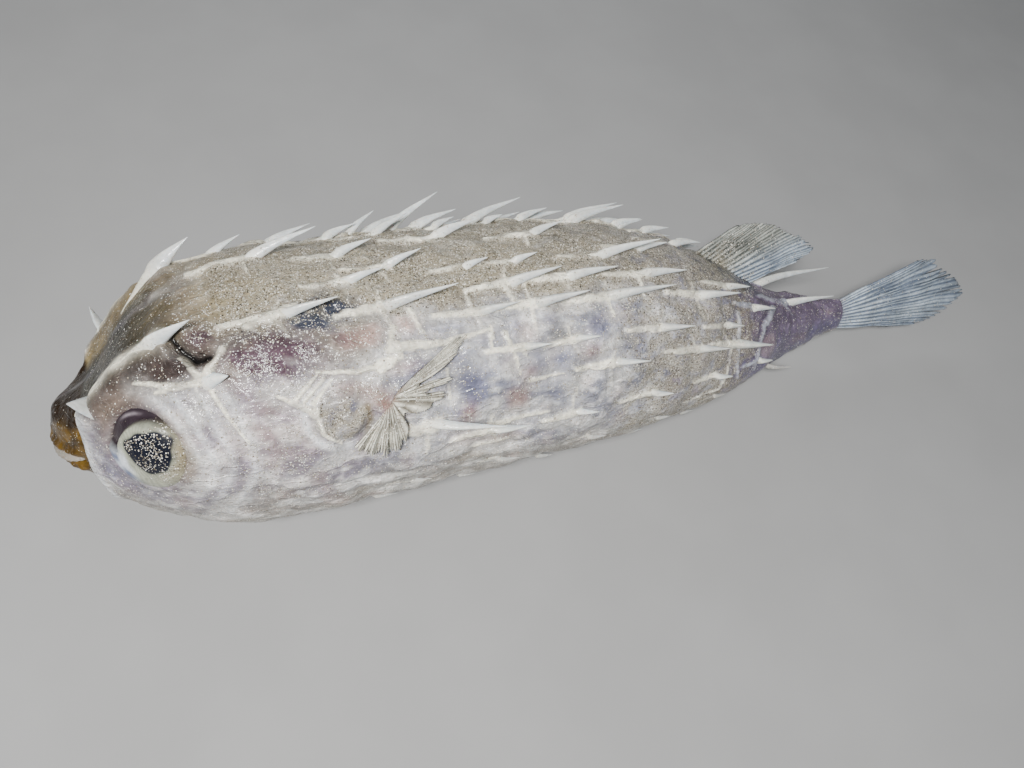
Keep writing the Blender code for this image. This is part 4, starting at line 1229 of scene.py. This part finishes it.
def pectoral_place(side):
    """The fin's rays by heading and length: a crumpled lower lobe, then three bundles with notches."""
    shares, headings, lengths = np.array(PECTORAL_RAYS, float).T

    def place(u, v):
        s, angle = along_table((PECTORAL_FROM, PECTORAL_TO), u)
        heading, length = np.radians(np.interp(u, shares, headings)), np.interp(u, shares, lengths)
        turn = np.sin(heading) * length * v / station(WIDTH, s)
        s = s + np.cos(heading) * length * v
        here, _, _, out = skin_frame(s, side_angle(angle + np.degrees(turn), side))
        crumpled = fade(0.45, 0.53, u) * np.sin(u * 52.0) * v
        return here + out * (PECTORAL_CLEAR + PECTORAL_RISE * v + crumpled)[..., None]

    return place


def make_fins(material):
    fin_piece("dorsal_fin", dorsal_place, dorsal_look, DORSAL_DETAIL, material)
    fin_piece("anal_fin", anal_place, tail_look, ANAL_DETAIL, material)
    fin_piece("caudal_fin", caudal_place, tail_look, CAUDAL_DETAIL, material)
    for side in SIDES:
        fin_piece("pectoral_fin_" + side, pectoral_place(side), pectoral_look, PECTORAL_DETAIL, material)


def eye_looks(x, y, turn, from_iris, gap, points):
    """Colours of the eye: sandy pupil, cream ring, white wedge with painted blue shade ahead of it, painted
    shade and a painted glint in the gap above.
    """
    ragged = 0.35 * waves(points, 5.0, 111)
    off_iris = from_iris + ragged
    aside, above = x - PUPIL_AT[0], y - PUPIL_AT[1]
    corners = 1 + 0.1 * np.cos(3 * np.arctan2(above, aside) - math.pi / 2)
    pupil = np.hypot(aside, above) / (PUPIL_RADIUS * corners) + ragged / 7
    streaks = 0.5 + 0.5 * np.sin(turn * 1.3 + 3.0 * waves(points, 6.0, 112))
    paint = mix(IRIS * 0.7, IRIS, streaks)
    paint = mix(paint, IRIS * 0.45, smoothstep(-2.4, -0.2, off_iris) * sector(turn, 40, 60))
    paint = mix(paint, EYE_WHITE, smoothstep(-3.2, -1.2, off_iris) * sector(turn, 195, 60))
    # painted blue shade beyond the iris at the front and lower front of the eye
    blue = sum(hump(turned(turn - middle) - 3.0 * ragged, half) for middle, half in ((180, 11), (222, 18)))
    paint = mix(paint, EYE_BLUE_SHADE, blue * smoothstep(0.2, 2.0, from_iris + 0.5) * 0.9)
    # painted shade in the sunken gap under the upper lid, with a painted glint along it
    paint = mix(paint, GAP_SHADE, np.clip(1.4 * gap, 0, 1))
    paint = mix(paint, EYE_GLINT, 0.4 * gap * hump(np.hypot(x, y) - 11.4, 0.4) * sector(turn, 98, 30))
    sandy = smoothstep(-3.2, -0.2, off_iris) * sector(turn, 345, 75)
    paint = mix(paint, mix(TAN, SAND_FILM, 0.6), sandy)
    paint = mix(paint, IRIS * 0.4, hump(pupil - 1.05, 0.06) * 0.5)
    paint = mix(paint, PUPIL, fade(0.94, 1.05, pupil))
    sand = 0.41 * fade(0.8, 1.04, pupil) + 0.7 * sector(turn, 345, 85) * smoothstep(0.95, 1.1, pupil)
    return paint, sand


def make_eye(side, material):
    """A dome with a flat base, sunk along the gap under the upper lid."""
    centre, tailward, upward, out = eye_frame(side)
    rings, columns = EYE_GRID
    turn = np.linspace(-180, 180, columns, endpoint=False)[None, :]
    radius = EYE_RADIUS * np.linspace(0.02, 1.0, rings)[:, None] ** 0.9
    x, y = radius * np.cos(np.radians(turn)), radius * np.sin(np.radians(turn))
    from_iris = np.hypot(x - IRIS_AT[0], y - IRIS_AT[1]) - IRIS_RADIUS + 0.9 * sector(turn, 95, 75)
    gap = smoothstep(-0.3, 0.7, from_iris) * between(turn, 20, 48, 158, 172)
    dome = EYE_DEPTH * np.sqrt(np.maximum(1 - (radius / (EYE_RADIUS + 0.2)) ** 2, 0))
    flat = x[..., None] * tailward + y[..., None] * upward
    top = centre + flat + (dome - 2.6 * gap)[..., None] * out
    under = centre - EYE_BASE * out
    paint, sand = eye_looks(x, y, turn, from_iris, gap, top)
    points = shell_points(np.concatenate([top, under + 0.9 * flat[-1:]]), centre + EYE_DEPTH * out, under)
    paint = np.concatenate([paint.reshape(-1, 3), np.tile(GAP_SHADE, (columns, 1)), paint[0, :1], [GAP_SHADE]])
    sand = np.concatenate([sand.ravel(), np.zeros(columns), sand[0, :1], [0.0]])
    add_piece("eyeball_" + side, points, shell_faces(rings + 1, columns), paint, sand, material,
              ("eye_" + side,))


def make_beak(name, node, low, high, material):
    """One fused tooth plate, cut flat where it meets the other, with fine ridges to its edge."""
    left, back = axes()
    rows, columns = BEAK_GRID
    latitude = np.radians(np.linspace(low, high, rows))[:, None]
    turn = np.linspace(0, 2 * math.pi, columns, endpoint=False)[None, :]
    ridged = np.cos(latitude) * (1 + 0.012 * np.sin(turn * 34))
    length, width, height = MOUTH_SIZE
    rings = (
        mouth_middle()
        + (ridged * np.cos(turn) * length)[..., None] * TAILWARD
        + (ridged * np.sin(turn) * width)[..., None] * left
        + (np.sin(latitude) * height * np.ones_like(turn))[..., None] * back
    )
    points = shell_points(rings, rings[0].mean(axis=0), rings[-1].mean(axis=0))
    paint, sand = np.broadcast_to(BELLY, points.shape), np.full(len(points), 0.04)
    add_piece(name, points, shell_faces(rows, columns), paint, sand, material, (node,))


class Nodes:
    """Short calls for building one material."""

    def __init__(self, name):
        self.material = bpy.data.materials.new(name)
        self.material.use_nodes = True
        self.tree = self.material.node_tree
        self.shader = self.tree.nodes["Principled BSDF"]

    def put(self, node, values):
        """Sets a node's inputs, by name or number, or links them to another node's output."""
        for key, value in values.items():
            if hasattr(value, "is_output"):
                self.tree.links.new(value, node.inputs[key])
            else:
                node.inputs[key].default_value = value

    def add(self, kind, values=(), **settings):
        node = self.tree.nodes.new(kind)
        for key, value in settings.items():
            setattr(node, key, value)
        self.put(node, dict(values))
        return node

    def math(self, operation, *values):
        return self.add("ShaderNodeMath", enumerate(values), operation=operation).outputs[0]

    def span(self, value, low, high, to_low, to_high):
        values = enumerate((value, low, high, to_low, to_high))
        return self.add("ShaderNodeMapRange", values, interpolation_type="SMOOTHSTEP").outputs[0]

    def blend(self, share, first, second, kind="MIX"):
        values = {0: share, 6: first, 7: second}
        return self.add("ShaderNodeMix", values, data_type="RGBA", blend_type=kind).outputs[2]

    def where(self):
        return self.add("ShaderNodeTexCoord").outputs["Object"]

    def noise(self, size, detail=3.0, roughness=0.55, where=None):
        """Noise whose lumps are about size millimetres across."""
        values = {"Scale": 1.0 / (size * MM), "Detail": detail, "Roughness": roughness}
        values["Vector"] = where or self.where()
        return self.add("ShaderNodeTexNoise", values).outputs[0]

    def lines(self, size, width):
        """Thin wandering lines, longer along the body than across it, 1 on a line and 0 off it."""
        longer = self.add("ShaderNodeMapping", {"Vector": self.where(), "Scale": (0.45, 1.0, 1.0)})
        noise = self.noise(size, 2.5, 0.5, longer.outputs[0])
        return self.span(self.math("ABSOLUTE", self.math("SUBTRACT", noise, 0.5)), 0.0, width, 1.0, 0.0)

    def grey(self, value):
        return self.add("ShaderNodeCombineColor", {0: value, 1: value, 2: value}).outputs[0]

    def shade(self, colour, share):
        """A colour made darker or lighter by a number."""
        return self.blend(1.0, colour, self.grey(share), "MULTIPLY")

    def sand(self, colour, density, most):
        """A colour under sand: a film, fine grains in clumps and coarse grains, their darkest tones partly
        painted shade between grains; and where the grains are.
        """
        clumps = self.span(self.noise(5.0, 4.0, 0.65), 0.3, 0.7, 0.35, 1.65)
        wanted = self.math("MULTIPLY", density, clumps)
        colour = self.blend(self.span(wanted, 0.3, 0.9, 0.0, most), colour, (*SAND_FILM, 1.0))
        lighter = self.span(density, 0.3, 0.6, 0.22, 0.0)
        cover = 0.0
        for size, share in GRAINS:
            grains = self.add("ShaderNodeTexVoronoi", {"Vector": self.where(), "Scale": 1.0 / (size * MM)})
            chance = self.add("ShaderNodeSeparateColor", {0: grains.outputs["Color"]}).outputs
            spare = self.math("MULTIPLY_ADD", wanted, share, self.math("MULTIPLY", chance[0], -1.0))
            present = self.span(spare, -0.02, 0.02, 0.0, 1.0)
            round_shape = self.span(grains.outputs["Distance"], 0.32, 0.5, 1.0, 0.0)
            grain = self.math("MULTIPLY", present, round_shape)
            tone = self.math("MULTIPLY_ADD", chance[1], 0.8, lighter)
            colour = self.blend(grain, colour, self.ramp(tone, SAND_AND_SHADE_TONES))
            cover = self.math("MAXIMUM", grain, cover)
        return colour, cover

    def ramp(self, value, stops):
        node = self.add("ShaderNodeValToRGB", {0: value})
        elements = node.color_ramp.elements
        for element, (position, colour) in ((elements[0], stops[0]), (elements[1], stops[-1])):
            element.position, element.color = position, (*colour, 1.0)
        for position, colour in stops[1:-1]:
            elements.new(position).color = (*colour, 1.0)
        return node.outputs[0]


def dressed_material(name, roughness, coat, under, mottle=0.2, streaks=0.0, wrinkles=1.0, film=0.6):
    """Painted skin with mottles, pale creases and fine wrinkles, wet under a scatter of sand grains."""
    make = Nodes(name)
    attribute = make.add("ShaderNodeAttribute", attribute_name="Paint")
    base, density = attribute.outputs["Color"], attribute.outputs["Alpha"]
    for size, share in MOTTLES:
        swing = mottle * share
        base = make.shade(base, make.span(make.noise(size), 0.32, 0.68, 1.0 - swing, 1.0 + swing))
    wide, narrow = make.lines(9.0, 0.035), make.lines(3.4, 0.05)
    if streaks:
        where = make.span(make.noise(16.0), 0.42, 0.6, 0.15, 1.0)
        share = make.math("MULTIPLY", make.math("MAXIMUM", wide, narrow), where)
        base = make.shade(base, make.math("MULTIPLY_ADD", share, streaks, 1.0))
    base, grain = make.sand(base, density, film)
    rough = make.math("MULTIPLY_ADD", make.noise(2.5), 0.4, roughness - 0.2)
    rough = make.math("ADD", rough, make.math("MULTIPLY", grain, 0.3))
    height = make.math("MULTIPLY", make.noise(2.2, 3.0, 0.6), 0.9 * wrinkles)
    for raised, share in ((wide, 0.35 * wrinkles), (narrow, 0.2 * wrinkles), (grain, 0.6)):
        height = make.math("MULTIPLY_ADD", raised, share, height)
    bump = make.add("ShaderNodeBump", {"Strength": 0.9, "Distance": 0.6 * MM, "Height": height}).outputs[0]
    make.put(make.shader, {
        "Base Color": base, "Roughness": rough, "Normal": bump, "Coat Normal": bump,
        "Specular IOR Level": 0.2, "Coat Weight": coat, "Coat Roughness": 0.14,
        "Subsurface Weight": under, "Subsurface Radius": (1.0, 0.55, 0.4), "Subsurface Scale": 1.2 * MM,
    })
    return make.material


def make_floor():
    make = Nodes("floor")
    tone = make.span(make.noise(60.0, 3.0), 0.3, 0.7, 0.30, 0.32)
    make.put(make.shader, {"Base Color": make.grey(tone), "Roughness": 0.9})
    mesh = bpy.data.meshes.new("floor")
    corners = [(x * FLOOR_HALF, y * FLOOR_HALF, FLOOR_LEVEL) for x, y in ((-1, -1), (1, -1), (1, 1), (-1, 1))]
    mesh.from_pydata(corners, [], [(0, 1, 2, 3)])
    mesh.materials.append(make.material)
    new_object("floor", mesh)


def add_light(name, at, aim, size, watts, colour):
    light = bpy.data.lights.new(name, "AREA")
    light.shape = "DISK"
    light.size = size
    light.energy = watts
    light.color = colour
    obj = new_object(name, light)
    x, y, z = np.array(aim) - np.array(at)
    obj.location = at
    obj.rotation_euler = (math.acos(-z / math.hypot(x, y, z)), 0.0, math.atan2(y, x) - math.pi / 2)


def make_lights():
    world = bpy.data.worlds.new("studio")
    world.use_nodes = True
    background = world.node_tree.nodes["Background"]
    background.inputs["Color"].default_value = SKY
    background.inputs["Strength"].default_value = SKY_STRENGTH
    bpy.context.scene.world = world
    for light in LIGHTS:
        add_light(*light)


def make_camera():
    data = bpy.data.cameras.new("camera")
    data.sensor_width = SENSOR
    data.lens = FOCAL_PIXELS * SENSOR / IMAGE_WIDTH
    camera = new_object("camera", data)
    camera.location = [(a - b) * MM for a, b in zip(CAMERA_AT, (ORIGIN_X, ORIGIN_Y, 0.0))]
    camera.rotation_euler = [math.radians(turn) for turn in CAMERA_TURN]
    bpy.context.scene.camera = camera


def main():
    skin_look = dressed_material("fish_skin", 0.42, 0.5, 0.08, mottle=0.2, streaks=0.35)
    spine_look = dressed_material("fish_spine", 0.36, 0.4, 0.15, mottle=0.1, wrinkles=0.3)
    fin_look = dressed_material("fish_fin", 0.45, 0.3, 0.05, mottle=0.2, wrinkles=0.5)
    eye_look = dressed_material("fish_eye", 0.35, 0.25, 0.02, mottle=0.15, wrinkles=0.25, film=0.0)
    beak_look = dressed_material("fish_beak", 0.3, 0.3, 0.2, mottle=0.08, wrinkles=0.2)
    spines = all_spines()
    make_skin(spines, skin_look)
    make_spines(spines + list(brow_places()), spine_look)
    make_fins(fin_look)
    for side in SIDES:
        make_eye(side, eye_look)
    make_beak("upper_plate", "beak_upper", 3.0, 82.0, beak_look)
    make_beak("lower_plate", "beak_lower", -82.0, -3.0, beak_look)
    make_floor()
    make_lights()
    make_camera()


main()
